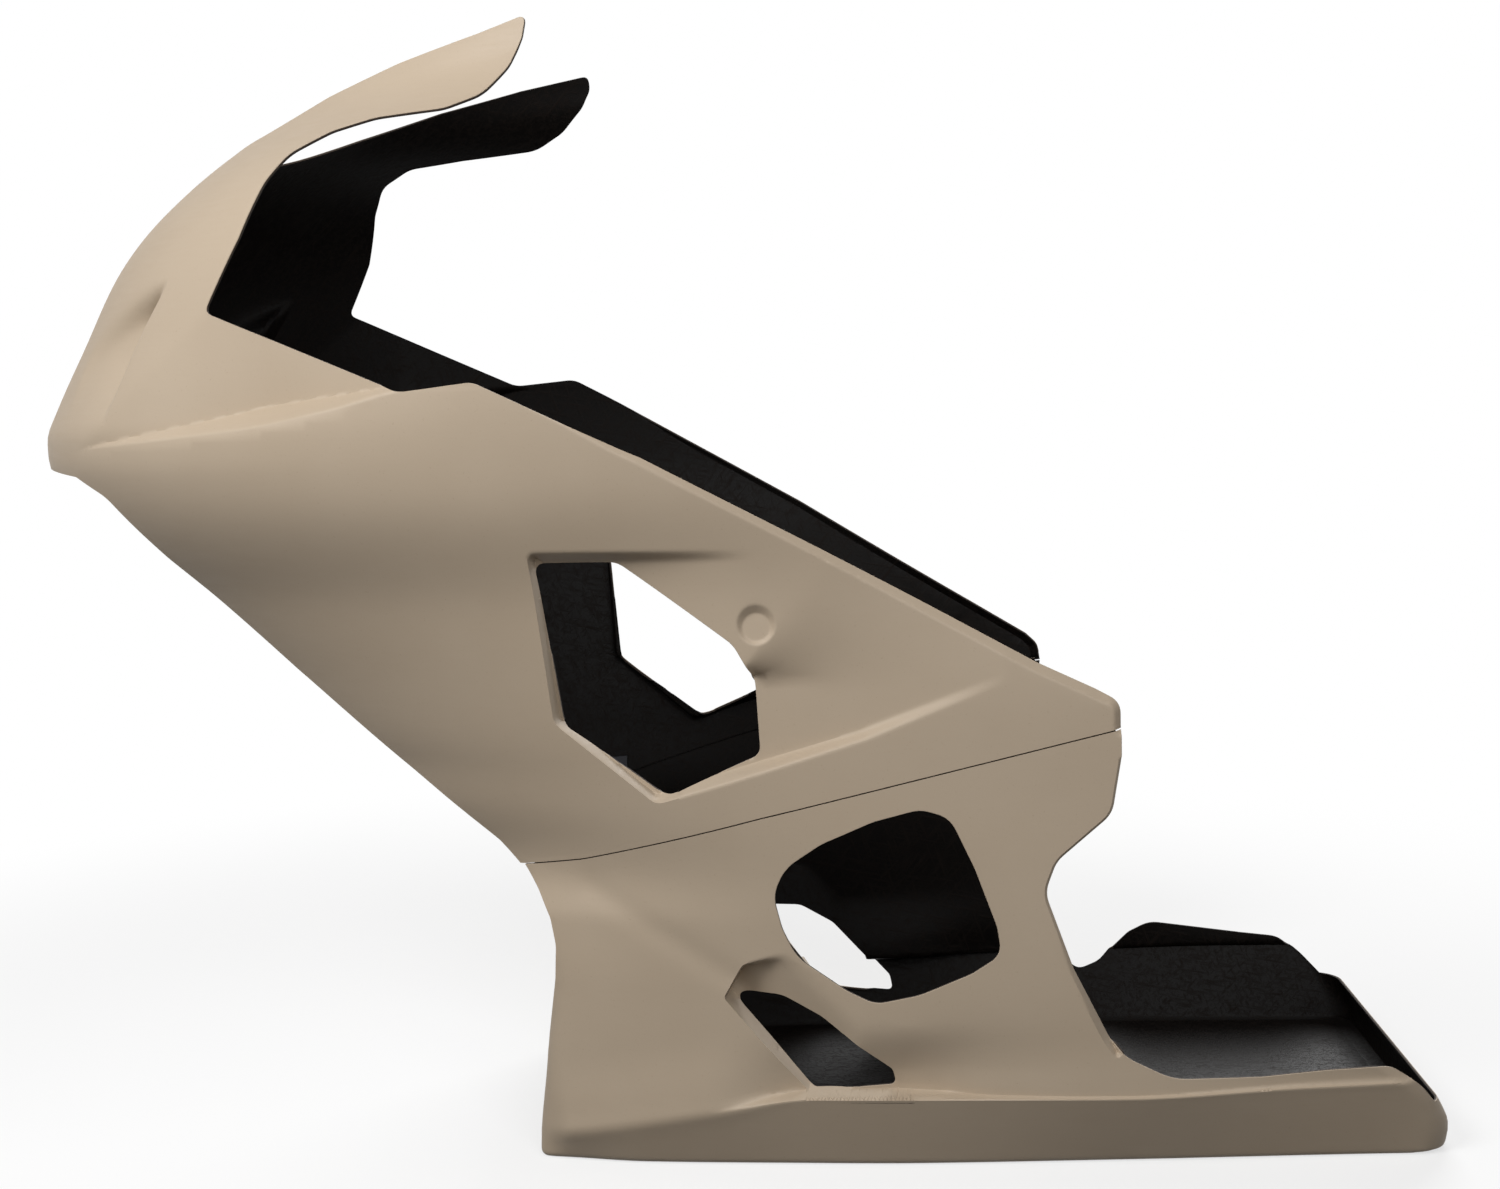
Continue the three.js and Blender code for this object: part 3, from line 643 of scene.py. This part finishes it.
def moulding(name, points, triangles, lapAt, materials):
    # a sheet with thickness: outer face, inner face and a rounded cut edge
    normals = pointNormals(points, triangles)
    directed = np.concatenate([triangles[:, [0, 1]], triangles[:, [1, 2]], triangles[:, [2, 0]]])
    forwardKey = directed[:, 0] * len(points) + directed[:, 1]
    backKey = directed[:, 1] * len(points) + directed[:, 0]
    edge = directed[~np.isin(forwardKey, backKey)]
    run = points[edge[:, 1]] - points[edge[:, 0]]
    run /= np.maximum(np.linalg.norm(run, axis=1), 1e-9)[:, None]
    outward = np.zeros_like(points)
    for k in range(2):
        np.add.at(outward, edge[:, k], np.cross(run, normals[edge[:, k]]))
    onEdge = np.unique(edge)
    push = outward[onEdge]
    push -= (push * normals[onEdge]).sum(1)[:, None] * normals[onEdge]
    push /= np.maximum(np.linalg.norm(push, axis=1), 1e-9)[:, None]
    top, bottom = lapAt(points)
    outer = points - top[:, None] * normals
    outer[onEdge] -= rim["round"] * push
    inner = points - bottom[:, None] * normals
    inner[onEdge] -= rim["round"] * push
    ring = points[onEdge] - (top[onEdge] + rim["set"])[:, None] * normals[onEdge]
    innerRing = points[onEdge] - (bottom[onEdge] - rim["set"])[:, None] * normals[onEdge]
    count = len(points)
    ringAt = np.full(count, -1)
    ringAt[onEdge] = np.arange(len(onEdge)) + 2 * count
    vertices = np.concatenate([outer, inner, ring, innerRing]) / 1000
    a, b = edge[:, 0], edge[:, 1]
    ringA, ringB, step = ringAt[a], ringAt[b], len(onEdge)
    quads = [np.column_stack(four) for four in (
        (b, a, ringA, ringB), (ringB, ringA, ringA + step, ringB + step),
        (ringB + step, ringA + step, a + count, b + count))]
    faces = triangles.tolist() + (triangles[:, ::-1] + count).tolist()
    faces += np.concatenate(quads).tolist()
    # outer faces take the primer, but the sunk tongue face behind the seam takes the dark cut-edge finish:
    # painted shade in the seam's groove
    outerOrSeamShade = np.where(top[triangles].max(1) > 0, 2, 0).tolist()
    slots = outerOrSeamShade + [1] * len(triangles) + [0] * len(edge) + [2] * len(edge) + [1] * len(edge)
    mesh = bpy.data.meshes.new(name)
    mesh.from_pydata(vertices.tolist(), [], faces)
    for material in materials:
        mesh.materials.append(material)
    mesh.polygons.foreach_set("material_index", slots)
    mesh.shade_smooth()
    mesh.set_sharp_from_angle(angle=math.radians(rim["sharp"]))
    mesh.update()
    made = bpy.data.objects.new(name, mesh)
    bpy.context.scene.collection.objects.link(made)
    print(name, "made:", len(faces), "faces")
    return made


# materials
def hexColor(code):
    parts = [int(code[i:i + 2], 16) / 255 for i in (1, 3, 5)]
    return (*[p / 12.92 if p <= 0.04045 else ((p + 0.055) / 1.055) ** 2.4 for p in parts], 1)


def perMetre(millimetres):
    return 1000 / millimetres  # texture scale for features of this size


bandScale = 6.283  # makes each light or dark band of a wave texture about as wide as the size given


def addNode(tree, kind, settings=None, links=None):
    node = tree.nodes.new(kind)
    for name, value in (settings or {}).items():
        if isinstance(name, int) or name in node.inputs:
            node.inputs[name].default_value = value
        else:
            setattr(node, name, value)
    for name, source in (links or {}).items():
        tree.links.new(source, node.inputs[name])
    return node


def newMaterial(name):
    material = bpy.data.materials.new(name)
    material.use_nodes = True
    tree = material.node_tree
    tree.nodes.clear()
    place = addNode(tree, "ShaderNodeTexCoord").outputs["Object"]
    return material, tree, place


def finishMaterial(tree, settings, links):
    shader = addNode(tree, "ShaderNodeBsdfPrincipled", settings, links)
    addNode(tree, "ShaderNodeOutputMaterial", links={"Surface": shader.outputs["BSDF"]})


def sprayedPrimer():
    # polyester primer gelcoat, sprayed into the mould and flatted: matte, with soft clouds and fine specks
    look = {"pale": "#b0a08c", "deep": "#a4937e", "fleck": "#8a7965",
            "cloud": 140, "fleckSize": 1.6, "sanding": 30, "peel": 2.5}
    material, tree, place = newMaterial("sprayedPrimerGelcoat")
    cloud = addNode(tree, "ShaderNodeTexNoise", {
        "Scale": perMetre(look["cloud"]), "Detail": 4.0}, {"Vector": place})
    base = addNode(tree, "ShaderNodeMix", {
        "data_type": "RGBA", 6: hexColor(look["deep"]), 7: hexColor(look["pale"])}, {0: cloud.outputs["Fac"]})
    speck = addNode(tree, "ShaderNodeTexNoise", {
        "Scale": perMetre(look["fleckSize"]), "Detail": 2.0}, {"Vector": place})
    sparse = addNode(tree, "ShaderNodeMapRange", {
        "From Min": 0.66, "From Max": 0.8, "To Min": 0.0, "To Max": 0.35}, {"Value": speck.outputs["Fac"]})
    flecked = addNode(tree, "ShaderNodeMix", {"data_type": "RGBA", 7: hexColor(look["fleck"])}, {
        0: sparse.outputs["Result"], 6: base.outputs[2]})
    stroke = addNode(tree, "ShaderNodeMapping", {"Scale": (1.0, 1.0, 9.0), "Rotation": (0, 0.5, 0)}, {
        "Vector": place})
    sanding = addNode(tree, "ShaderNodeTexNoise", {"Scale": perMetre(look["sanding"]), "Detail": 5.0}, {
        "Vector": stroke.outputs["Vector"]})
    roughness = addNode(tree, "ShaderNodeMapRange", {
        "To Min": 0.5, "To Max": 0.68}, {"Value": sanding.outputs["Fac"]})
    peel = addNode(tree, "ShaderNodeTexNoise", {
        "Scale": perMetre(look["peel"]), "Detail": 3.0}, {"Vector": place})
    bump = addNode(tree, "ShaderNodeBump", {"Strength": 0.12, "Distance": 0.0004}, {
        "Height": peel.outputs["Fac"]})
    finishMaterial(tree, {"IOR": 1.5}, {
        "Base Color": flecked.outputs[2], "Roughness": roughness.outputs["Result"],
        "Normal": bump.outputs["Normal"]})
    return material


def handLaminate():
    # glass mat laid by hand in dark polyester resin: near-black brown with faint crossing strands.
    # Both colours are darker than the resin's own: painted shade for the inside of the shell.
    look = {"resin": "#070504", "strand": "#120d0a", "bundle": 1.4, "length": 25}
    material, tree, place = newMaterial("handLaidLaminate")
    layers = []
    for angle in (0.2, 1.25, 2.3):
        turned = addNode(tree, "ShaderNodeMapping", {
            "vector_type": "TEXTURE", "Rotation": (0, angle, 0),
            "Scale": (look["length"] / look["bundle"], 1.0, 1.0)}, {"Vector": place})
        layers.append(addNode(tree, "ShaderNodeTexNoise", {
            "Scale": perMetre(look["bundle"] * 2), "Detail": 2.0}, {"Vector": turned.outputs["Vector"]}))
    two = addNode(tree, "ShaderNodeMath", {"operation": "MAXIMUM"}, {
        0: layers[0].outputs["Fac"], 1: layers[1].outputs["Fac"]})
    mat = addNode(tree, "ShaderNodeMath", {"operation": "MAXIMUM"}, {
        0: two.outputs["Value"], 1: layers[2].outputs["Fac"]})
    strands = addNode(tree, "ShaderNodeMapRange", {"From Min": 0.52, "From Max": 0.78}, {
        "Value": mat.outputs["Value"]})
    base = addNode(tree, "ShaderNodeMix", {
        "data_type": "RGBA", 6: hexColor(look["resin"]), 7: hexColor(look["strand"])}, {
        0: strands.outputs["Result"]})
    roughness = addNode(tree, "ShaderNodeMapRange", {"To Min": 0.45, "To Max": 0.7}, {
        "Value": strands.outputs["Result"]})
    bump = addNode(tree, "ShaderNodeBump", {"Strength": 0.3, "Distance": 0.0004}, {
        "Height": strands.outputs["Result"]})
    finishMaterial(tree, {"IOR": 1.5, "Specular IOR Level": 0.07}, {
        "Base Color": base.outputs[2], "Roughness": roughness.outputs["Result"],
        "Normal": bump.outputs["Normal"]})
    return material


def cutEdgeAndSeamShade():
    # laminate sawn and filed at the trim line: dark brown with the plies just showing; also laid on the lap's
    # tongue face as painted shade in the seam
    look = {"dark": "#1d1712", "pale": "#3d3127", "ply": 1.2}
    material, tree, place = newMaterial("sawnEdgeAndSeamShade")
    plies = addNode(tree, "ShaderNodeTexNoise", {
        "Scale": perMetre(look["ply"]), "Detail": 3.0}, {"Vector": place})
    base = addNode(tree, "ShaderNodeMix", {
        "data_type": "RGBA", 6: hexColor(look["dark"]), 7: hexColor(look["pale"])}, {0: plies.outputs["Fac"]})
    bump = addNode(tree, "ShaderNodeBump", {"Strength": 0.3, "Distance": 0.0003}, {
        "Height": plies.outputs["Fac"]})
    finishMaterial(tree, {"IOR": 1.5, "Roughness": 0.75, "Specular IOR Level": 0.3}, {
        "Base Color": base.outputs[2], "Normal": bump.outputs["Normal"]})
    return material


def wovenPatch():
    # woven glass cloth wetted out in black resin: a 2 mm plain weave under a slight gloss
    look = {"thread": 2.0, "dark": "#100e0d", "pale": "#26231f"}
    material, tree, place = newMaterial("wovenLaminatePatch")
    waves = [addNode(tree, "ShaderNodeTexWave", {
        "bands_direction": axis, "Scale": perMetre(look["thread"]) / bandScale, "Distortion": 0.6,
        "Detail": 1.0}, {"Vector": place}) for axis in ("X", "Z")]
    weave = addNode(tree, "ShaderNodeMath", {"operation": "MULTIPLY"}, {
        0: waves[0].outputs["Fac"], 1: waves[1].outputs["Fac"]})
    base = addNode(tree, "ShaderNodeMix", {
        "data_type": "RGBA", 6: hexColor(look["dark"]), 7: hexColor(look["pale"])}, {
        0: weave.outputs["Value"]})
    bump = addNode(tree, "ShaderNodeBump", {"Strength": 0.5, "Distance": 0.0003}, {
        "Height": weave.outputs["Value"]})
    finishMaterial(tree, {"IOR": 1.55, "Roughness": 0.38}, {
        "Base Color": base.outputs[2], "Normal": bump.outputs["Normal"]})
    return material


def anodisedAluminium():
    # blasted and black anodised aluminium sheet: satin, with a fine even grain
    look = {"dark": "#17171a", "pale": "#232327", "grain": 0.5}
    material, tree, place = newMaterial("blackAnodisedAluminium")
    grain = addNode(tree, "ShaderNodeTexNoise", {
        "Scale": perMetre(look["grain"]), "Detail": 2.0}, {"Vector": place})
    base = addNode(tree, "ShaderNodeMix", {
        "data_type": "RGBA", 6: hexColor(look["dark"]), 7: hexColor(look["pale"])}, {0: grain.outputs["Fac"]})
    roughness = addNode(tree, "ShaderNodeMapRange", {"To Min": 0.34, "To Max": 0.48}, {
        "Value": grain.outputs["Fac"]})
    bump = addNode(tree, "ShaderNodeBump", {"Strength": 0.2, "Distance": 0.0001}, {
        "Height": grain.outputs["Fac"]})
    finishMaterial(tree, {"Metallic": 0.7}, {
        "Base Color": base.outputs[2], "Roughness": roughness.outputs["Result"],
        "Normal": bump.outputs["Normal"]})
    return material


def turnedSteel():
    # stainless bar turned on a lathe: bright, with rings along its length
    look = {"dark": "#b5b5b2", "pale": "#d2d2cf", "ring": 0.6}
    material, tree, place = newMaterial("turnedStainlessSteel")
    rings = addNode(tree, "ShaderNodeTexWave", {
        "bands_direction": "Z", "Scale": perMetre(look["ring"]) / bandScale, "Distortion": 0.4,
        "Detail": 2.0}, {"Vector": place})
    base = addNode(tree, "ShaderNodeMix", {
        "data_type": "RGBA", 6: hexColor(look["dark"]), 7: hexColor(look["pale"])}, {0: rings.outputs["Fac"]})
    roughness = addNode(tree, "ShaderNodeMapRange", {"To Min": 0.22, "To Max": 0.34}, {
        "Value": rings.outputs["Fac"]})
    bump = addNode(tree, "ShaderNodeBump", {"Strength": 0.2, "Distance": 0.0001}, {
        "Height": rings.outputs["Fac"]})
    finishMaterial(tree, {"Metallic": 1.0}, {
        "Base Color": base.outputs[2], "Roughness": roughness.outputs["Result"],
        "Normal": bump.outputs["Normal"]})
    return material


def mouldedRubber():
    # pressed nitrile rubber: dull black with a dusty bloom
    look = {"dark": "#141416", "pale": "#232325", "bloom": 3}
    material, tree, place = newMaterial("mouldedRubber")
    bloom = addNode(tree, "ShaderNodeTexNoise", {
        "Scale": perMetre(look["bloom"]), "Detail": 4.0}, {"Vector": place})
    base = addNode(tree, "ShaderNodeMix", {
        "data_type": "RGBA", 6: hexColor(look["dark"]), 7: hexColor(look["pale"])}, {0: bloom.outputs["Fac"]})
    roughness = addNode(tree, "ShaderNodeMapRange", {"To Min": 0.75, "To Max": 0.92}, {
        "Value": bloom.outputs["Fac"]})
    bump = addNode(tree, "ShaderNodeBump", {"Strength": 0.25, "Distance": 0.0002}, {
        "Height": bloom.outputs["Fac"]})
    finishMaterial(tree, {"IOR": 1.52, "Specular IOR Level": 0.3}, {
        "Base Color": base.outputs[2], "Roughness": roughness.outputs["Result"],
        "Normal": bump.outputs["Normal"]})
    return material


primer, laminate, edgeAndSeamShade = sprayedPrimer(), handLaminate(), cutEdgeAndSeamShade()
print("materials made")

# the upper moulding
# The lists are distances of rows of points beside each feature's line.
upperGrid = {
    "pitch": 7,
    "nosePoints": 90,
    "dishPoints": 60,
    "dishRings": [3, 6, 8.5, 9.8, 10.5, 11.2, 12.2, 13.2, 14.2, 15.2, 16.2, 17.4, 19],
    "rim": [-2, 0, 1.2, 2.4, 3.6, 4.8, 6, 7.5, 9, 11, 14],
    "fold": [-3, -1.2, 0, 1.2, 2.5, 4, 6, 8, 10, 12.5, 15, 18],
    "ridge": [-5, -2.5, 0, 2.5, 5],
    "lip": [-1.5, 0, 1.5, 3, 5, 7, 8.5, 10, 11.5, 12.7, 13.9, 15, 16.2, 17.5, 19, 21],
    "intake": [-1.5, 0, 1, 2, 3, 4, 5, 6.5, 9],
    "edge": [1.2, 2.4, 4, 5.5, 7, 8.5],
    "bend": 30,  # corner radius of the lip's and the pocket's lines
}


def upperSheet(side):
    arm, top = trims["arm"][side], trims["top"][side]
    noseFoot = [float(curve["frontX"](trims["noseFoot"])), trims["noseFoot"]]
    seam = seamOffset(side, lap["gap"] / 2)
    arch = sampled([noseFoot] + trims["arch"] + [seam[0].tolist()], isClosed=False)[:, :2]
    edge = sampled([seam[-1].tolist()] + top + arm + [noseTop], isClosed=False)[:, :2]
    nose = np.linspace(noseTop[1], noseFoot[1], upperGrid["nosePoints"])[1:-1]
    middle = np.column_stack([curve["frontX"](nose), nose])
    border = np.concatenate([arch[:-1], seam[:-1], edge, middle])
    hole = sampled(trims["sideOpening"])
    angle = np.linspace(0, 2 * math.pi, upperGrid["dishPoints"] + 1)[:-1]
    rings = [[dish["x"] + r * math.cos(a), dish["z"] + r * math.sin(a)]
             for r in upperGrid["dishRings"] for a in angle]
    rimPath = sampled(scoop["outline"])[::-1]
    foldPath = sampled(scoop["foldPath"], isClosed=False)
    ridgePath = sampled(cheek["ridge"], isClosed=False)
    lipPath = sampled([[x, z, upperGrid["bend"]] for x, z in cheek["lipFoot"]], isClosed=False)
    intakePath = sampled([[x, z, upperGrid["bend"]] for z, x in intake["edge"]], isClosed=False)
    rows = np.concatenate([
        rowsBeside(rimPath, upperGrid["rim"]), rings,
        rowsBeside(foldPath, upperGrid["fold"]),
        rowsBeside(ridgePath, upperGrid["ridge"]),
        rowsBeside(lipPath, upperGrid["lip"]),
        rowsBeside(intakePath, upperGrid["intake"]),
        rowsBeside(edge, upperGrid["edge"]),
    ])
    flatBorder = upperLayout(*border.T)
    onMiddle = np.abs(border[:, 0] - curve["frontX"](border[:, 1])) < 1e-6
    flatBorder[onMiddle, 0] = border[onMiddle, 0]
    lines = []
    for shift in (0, lap["rebateStep"]):
        line = seamOffset(side, lap["rebate"] + shift, lap["start"] - lap["rebateLead"], lap["rebateInset"])
        lines.append(upperLayout(*line.T))
    flat, triangles = triangulated(
        flatBorder, [upperLayout(*hole[:, :2].T)], lines, upperLayout(*rows.T), upperGrid["pitch"])
    points = upperPoints(flat[:, 0], flat[:, 1], side)
    return points, triangles if side < 0 else triangles[:, ::-1]


def upperLap(points):
    # depth of the outer and of the inner face: the wall is thin beside the seam
    above = [points[:, 2] - seamAt(points[:, 0], side) for side in (-1, 1)]
    rise = np.where(points[:, 1] < 0, *above)
    return np.zeros(len(points)), np.where(rise < lap["rebate"] + 0.1, lap["cover"], body["wall"])


upperMoulding = moulding("upper_moulding", *joined([upperSheet(-1), upperSheet(1)]), upperLap,
                         [primer, laminate, edgeAndSeamShade])
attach(upperMoulding, "upper")
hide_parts("upper_shell")


# the belly pan
lowerGrid = {
    "pitch": 7,
    "floorPitch": 22,
    "damPoints": 60,
    "tailPoints": 70,
    "bottomPoints": 260,
    "footHeights": 6,
    "noseFrom": 8,
    "noseHeights": 30,
    "vent": [-1.5, 0, 1.2, 2.4, 3.6, 5, 6.5, 8],
    "crease": [-8, -4.5, -2.4, -1.2, -0.4, 0.4, 1.1, 1.8, 2.5, 3.4, 4.6, 7, 11],
    "creaseX": (-140, 560, 3.0),
    "edge": [1.2, 2.4, 4, 5.5, 7, 9],
    "foot": [0.2, 0.4, 0.6, 0.8, 1, 1.3],  # shares of the way round the foot's radius
    "footStep": 3.5,
}


def lowerSheet(side):
    seam = seamOffset(side, -lap["gap"] / 2)
    raised = seamOffset(side, lap["tongue"], lap["start"], lap["inset"])
    seamFront = seam[seam[:, 0] < lap["start"] - 1]
    steps = [[x, z] for x, above in (raised[-1], raised[0])
             for z in np.linspace(seamAt(x, side) - lap["gap"] / 2, above, 4)]
    frontEdge = np.concatenate([
        [seam[-1]], steps[:4], raised[-2:0:-1], steps[:3:-1], seamFront[::-1],
        sampled([seam[0].tolist()] + trims["lowerFront"], isClosed=False)[1:, :2]])
    rearCorners = trims["tail"][side] + trims["belly"][side] + [seam[-1].tolist()]
    rearEdge = sampled(rearCorners, isClosed=False)[:, :2]
    edge = lowerLayout(*frontEdge.T)
    back = lowerLayout(*rearEdge.T)

    def ends(z):
        front, rear = curve["panFront"](z), curve["rearX"](z)
        corner = body["tailCorner"]
        last = skinHalf(rear - corner, z, side)
        return -skinHalf(front, z, side) + front, rear - corner + corner * math.pi / 2 + last - corner

    foot = body["footRadius"]
    lift = foot * math.pi / 2 - foot
    footTurn = np.linspace(0, math.pi / 2, lowerGrid["footHeights"])
    noseZ = np.linspace(lowerGrid["noseFrom"], body["damTop"], lowerGrid["noseHeights"])
    z = np.concatenate([foot * (1 - np.cos(footTurn)), noseZ])
    v = lowerLayout(np.full(len(z), 100.0), z)[:, 1]
    noseLine = np.column_stack([ends(z)[0], v])
    damLine = np.linspace(noseLine[-1], edge[-1], lowerGrid["damPoints"])[1:-1]
    isTail = z < trims["tailTop"] - 2
    tailZ = np.append(z[isTail], float(trims["tailTop"]))
    tailLine = np.column_stack([ends(tailZ)[1], np.append(v[isTail], trims["tailTop"] + lift)])
    tailTop = np.linspace(tailLine[-1], back[0], lowerGrid["tailPoints"])[1:-1]
    bottomStart, bottomEnd = noseLine[0, 0], tailLine[0, 0]
    bottom = np.linspace(bottomStart, bottomEnd, lowerGrid["bottomPoints"])[1:-1]
    bottomLine = np.column_stack([bottom, np.zeros(len(bottom))])
    border = np.concatenate([
        edge, damLine[::-1], noseLine[::-1], bottomLine, tailLine, tailTop, back[:-1]])
    holes = [trims["outlet"], trims["vent"]] if side < 0 else [onRight(trims["vent"])]
    cuts = [lowerLayout(*sampled(hole)[:, :2].T) for hole in holes]
    lines = []
    for shift in lap["tongueStep"]:
        line = seamOffset(side, -lap["gap"] / 2 + shift, lap["start"] + lap["tongueInset"],
                          lap["inset"] + lap["tongueInset"])
        lines.append(lowerLayout(*line.T))
    creaseX = np.arange(*lowerGrid["creaseX"])
    creasePath = np.column_stack([creaseX, curve["creaseZ"](creaseX)])
    pocket = vent["outline"] if side < 0 else onRight(vent["outline"])
    pocketPath = sampled(pocket)[::-1]
    rows = np.concatenate([
        rowsBeside(pocketPath, lowerGrid["vent"]),
        rowsBeside(creasePath, lowerGrid["crease"]),
        rowsBeside(rearEdge, lowerGrid["edge"]),
    ])
    rows = lowerLayout(*rows[rows[:, 0] > curve["panFront"](rows[:, 1]) + 0.5].T)
    footRows = foot * math.pi / 2 * np.array(lowerGrid["foot"])
    around = np.arange(bottomStart, bottomEnd, lowerGrid["footStep"])
    rows = np.concatenate([rows] + [np.column_stack([around, np.full(len(around), v)]) for v in footRows])
    flat, triangles = triangulated(border, cuts, lines, rows, lowerGrid["pitch"])
    points = lowerPoints(flat[:, 0], flat[:, 1], side)
    floorEdge = lowerPoints(np.append(np.insert(bottom, 0, bottomStart), bottomEnd),
                            np.zeros(len(bottom) + 2), side)
    return (points, triangles if side < 0 else triangles[:, ::-1]), floorEdge


def lowerLap(points):
    # the tongue's face is sunk, so that it stands behind the upper's edge
    above = [points[:, 2] - seamAt(points[:, 0], side) for side in (-1, 1)]
    rise = np.where(points[:, 1] < 0, *above)
    isTongue = (rise > -lap["gap"] / 2 + 0.05) & (points[:, 2] > lap["lowest"])
    return np.where(isTongue, lap["sink"], 0.0), np.full(len(points), body["wall"])


leftSheet, leftFoot = lowerSheet(-1)
rightSheet, rightFoot = lowerSheet(1)
floorBorder = np.concatenate([leftFoot, rightFoot[::-1][1:-1]])
flat, triangles = triangulated(floorBorder[:, :2], [], [], np.zeros((0, 2)), lowerGrid["floorPitch"])
underside = np.column_stack([flat, np.zeros(len(flat))]), triangles[:, ::-1]
lowerMoulding = moulding("lower_moulding", *joined([leftSheet, rightSheet, underside]), lowerLap,
                         [primer, laminate, edgeAndSeamShade])
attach(lowerMoulding, "lower")
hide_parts("lower_shell")

# fixings keep their solids and get their finishes
finishes = {
    "bolt_doubler": wovenPatch(),
    "upper_bracket": anodisedAluminium(),
    "lower_bracket": anodisedAluminium(),
    "locating_peg": turnedSteel(),
    "rubber_grommet": mouldedRubber(),
}
for name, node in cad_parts.items():
    for start, finish in finishes.items():
        if name.startswith(start):
            if not node.material_slots:
                node.data.materials.append(None)
            node.material_slots[0].link = "OBJECT"
            node.material_slots[0].material = finish
print("fixings finished")

# studio
studio = {
    "white": "#ffffff",
    "key": {"place": (-1.0, -1.35, 1.65), "size": 0.8, "power": 32},
    "side": {"place": (0.5, -1.8, 1.3), "size": 1.0, "power": 16},
    "back": {"place": (1.0, 2.4, 1.9), "size": 2.0, "power": 75},
    "aim": (0, 0, 0.4),
    "around": 0.07,
    "floor": 9,
    "paper": ("#3c3c3c", "#f4f4f4"),  # as light sees it, and as the eye does
    "shadow": 0.35,
    "shadowNear": 0.7,
    "shadowFar": 1.5,
}


def lamp(name, place, size, power):
    data = bpy.data.lights.new(name, "AREA")
    data.size = size
    data.energy = power
    made = bpy.data.objects.new(name, data)
    made.location = place
    made.rotation_euler = (Vector(studio["aim"]) - Vector(place)).to_track_quat("-Z", "Y").to_euler()
    bpy.context.scene.collection.objects.link(made)


for name in ("key", "side", "back"):
    lamp(name, **studio[name])

def metBy(tree, firstKind, *otherKinds):
    # 1 for rays of these kinds, 0 for all others
    path = addNode(tree, "ShaderNodeLightPath")
    met = path.outputs[firstKind]
    for kind in otherKinds:
        met = addNode(tree, "ShaderNodeMath", {"operation": "MAXIMUM"}, {
            0: met, 1: path.outputs[kind]}).outputs["Value"]
    return met


world = bpy.data.worlds.new("studio")
world.use_nodes = True
tree = world.node_tree
tree.nodes.clear()
seen = metBy(tree, "Is Camera Ray", "Is Glossy Ray", "Is Transmission Ray")
strength = addNode(tree, "ShaderNodeMapRange", {"To Min": studio["around"], "To Max": 1.0}, {
    "Value": seen})
sky = addNode(tree, "ShaderNodeBackground", {"Color": hexColor(studio["white"])}, {
    "Strength": strength.outputs["Result"]})
addNode(tree, "ShaderNodeOutputWorld", links={"Surface": sky.outputs["Background"]})
bpy.context.scene.world = world

# The floor is white to the eye, keeps a soft share of the shadow near the fairing, and gives little
# light back.
floorMaterial, tree, place = newMaterial("studioFloor")
seen = metBy(tree, "Is Camera Ray", "Is Glossy Ray")
away = addNode(tree, "ShaderNodeVectorMath", {"operation": "LENGTH"}, {0: place})
fade = addNode(tree, "ShaderNodeMapRange", {
    "From Min": studio["shadowNear"], "From Max": studio["shadowFar"],
    "To Min": 1 - studio["shadow"], "To Max": 1.0,
    "interpolation_type": "SMOOTHSTEP"}, {"Value": away.outputs["Value"]})
share = addNode(tree, "ShaderNodeMath", {"operation": "MULTIPLY"}, {
    0: seen, 1: fade.outputs["Result"]})
tone = addNode(tree, "ShaderNodeMix", {
    "data_type": "RGBA", 6: hexColor(studio["paper"][0]), 7: hexColor(studio["paper"][1])}, {0: seen})
paper = addNode(tree, "ShaderNodeBsdfDiffuse", links={"Color": tone.outputs[2]})
white = addNode(tree, "ShaderNodeEmission", {"Color": hexColor(studio["white"]), "Strength": 1.0})
both = addNode(tree, "ShaderNodeMixShader", links={
    0: share.outputs["Value"], 1: paper.outputs["BSDF"], 2: white.outputs["Emission"]})
addNode(tree, "ShaderNodeOutputMaterial", links={"Surface": both.outputs["Shader"]})
floorMesh = bpy.data.meshes.new("studio_floor")
corners = [(x * studio["floor"], y * studio["floor"], 0) for x, y in ((-1, -1), (1, -1), (1, 1), (-1, 1))]
floorMesh.from_pydata(corners, [], [(0, 1, 2, 3)])
floorMesh.materials.append(floorMaterial)
studioFloor = bpy.data.objects.new("studio_floor", floorMesh)
bpy.context.scene.collection.objects.link(studioFloor)

bpy.context.scene.view_settings.view_transform = "Standard"
print("studio set")
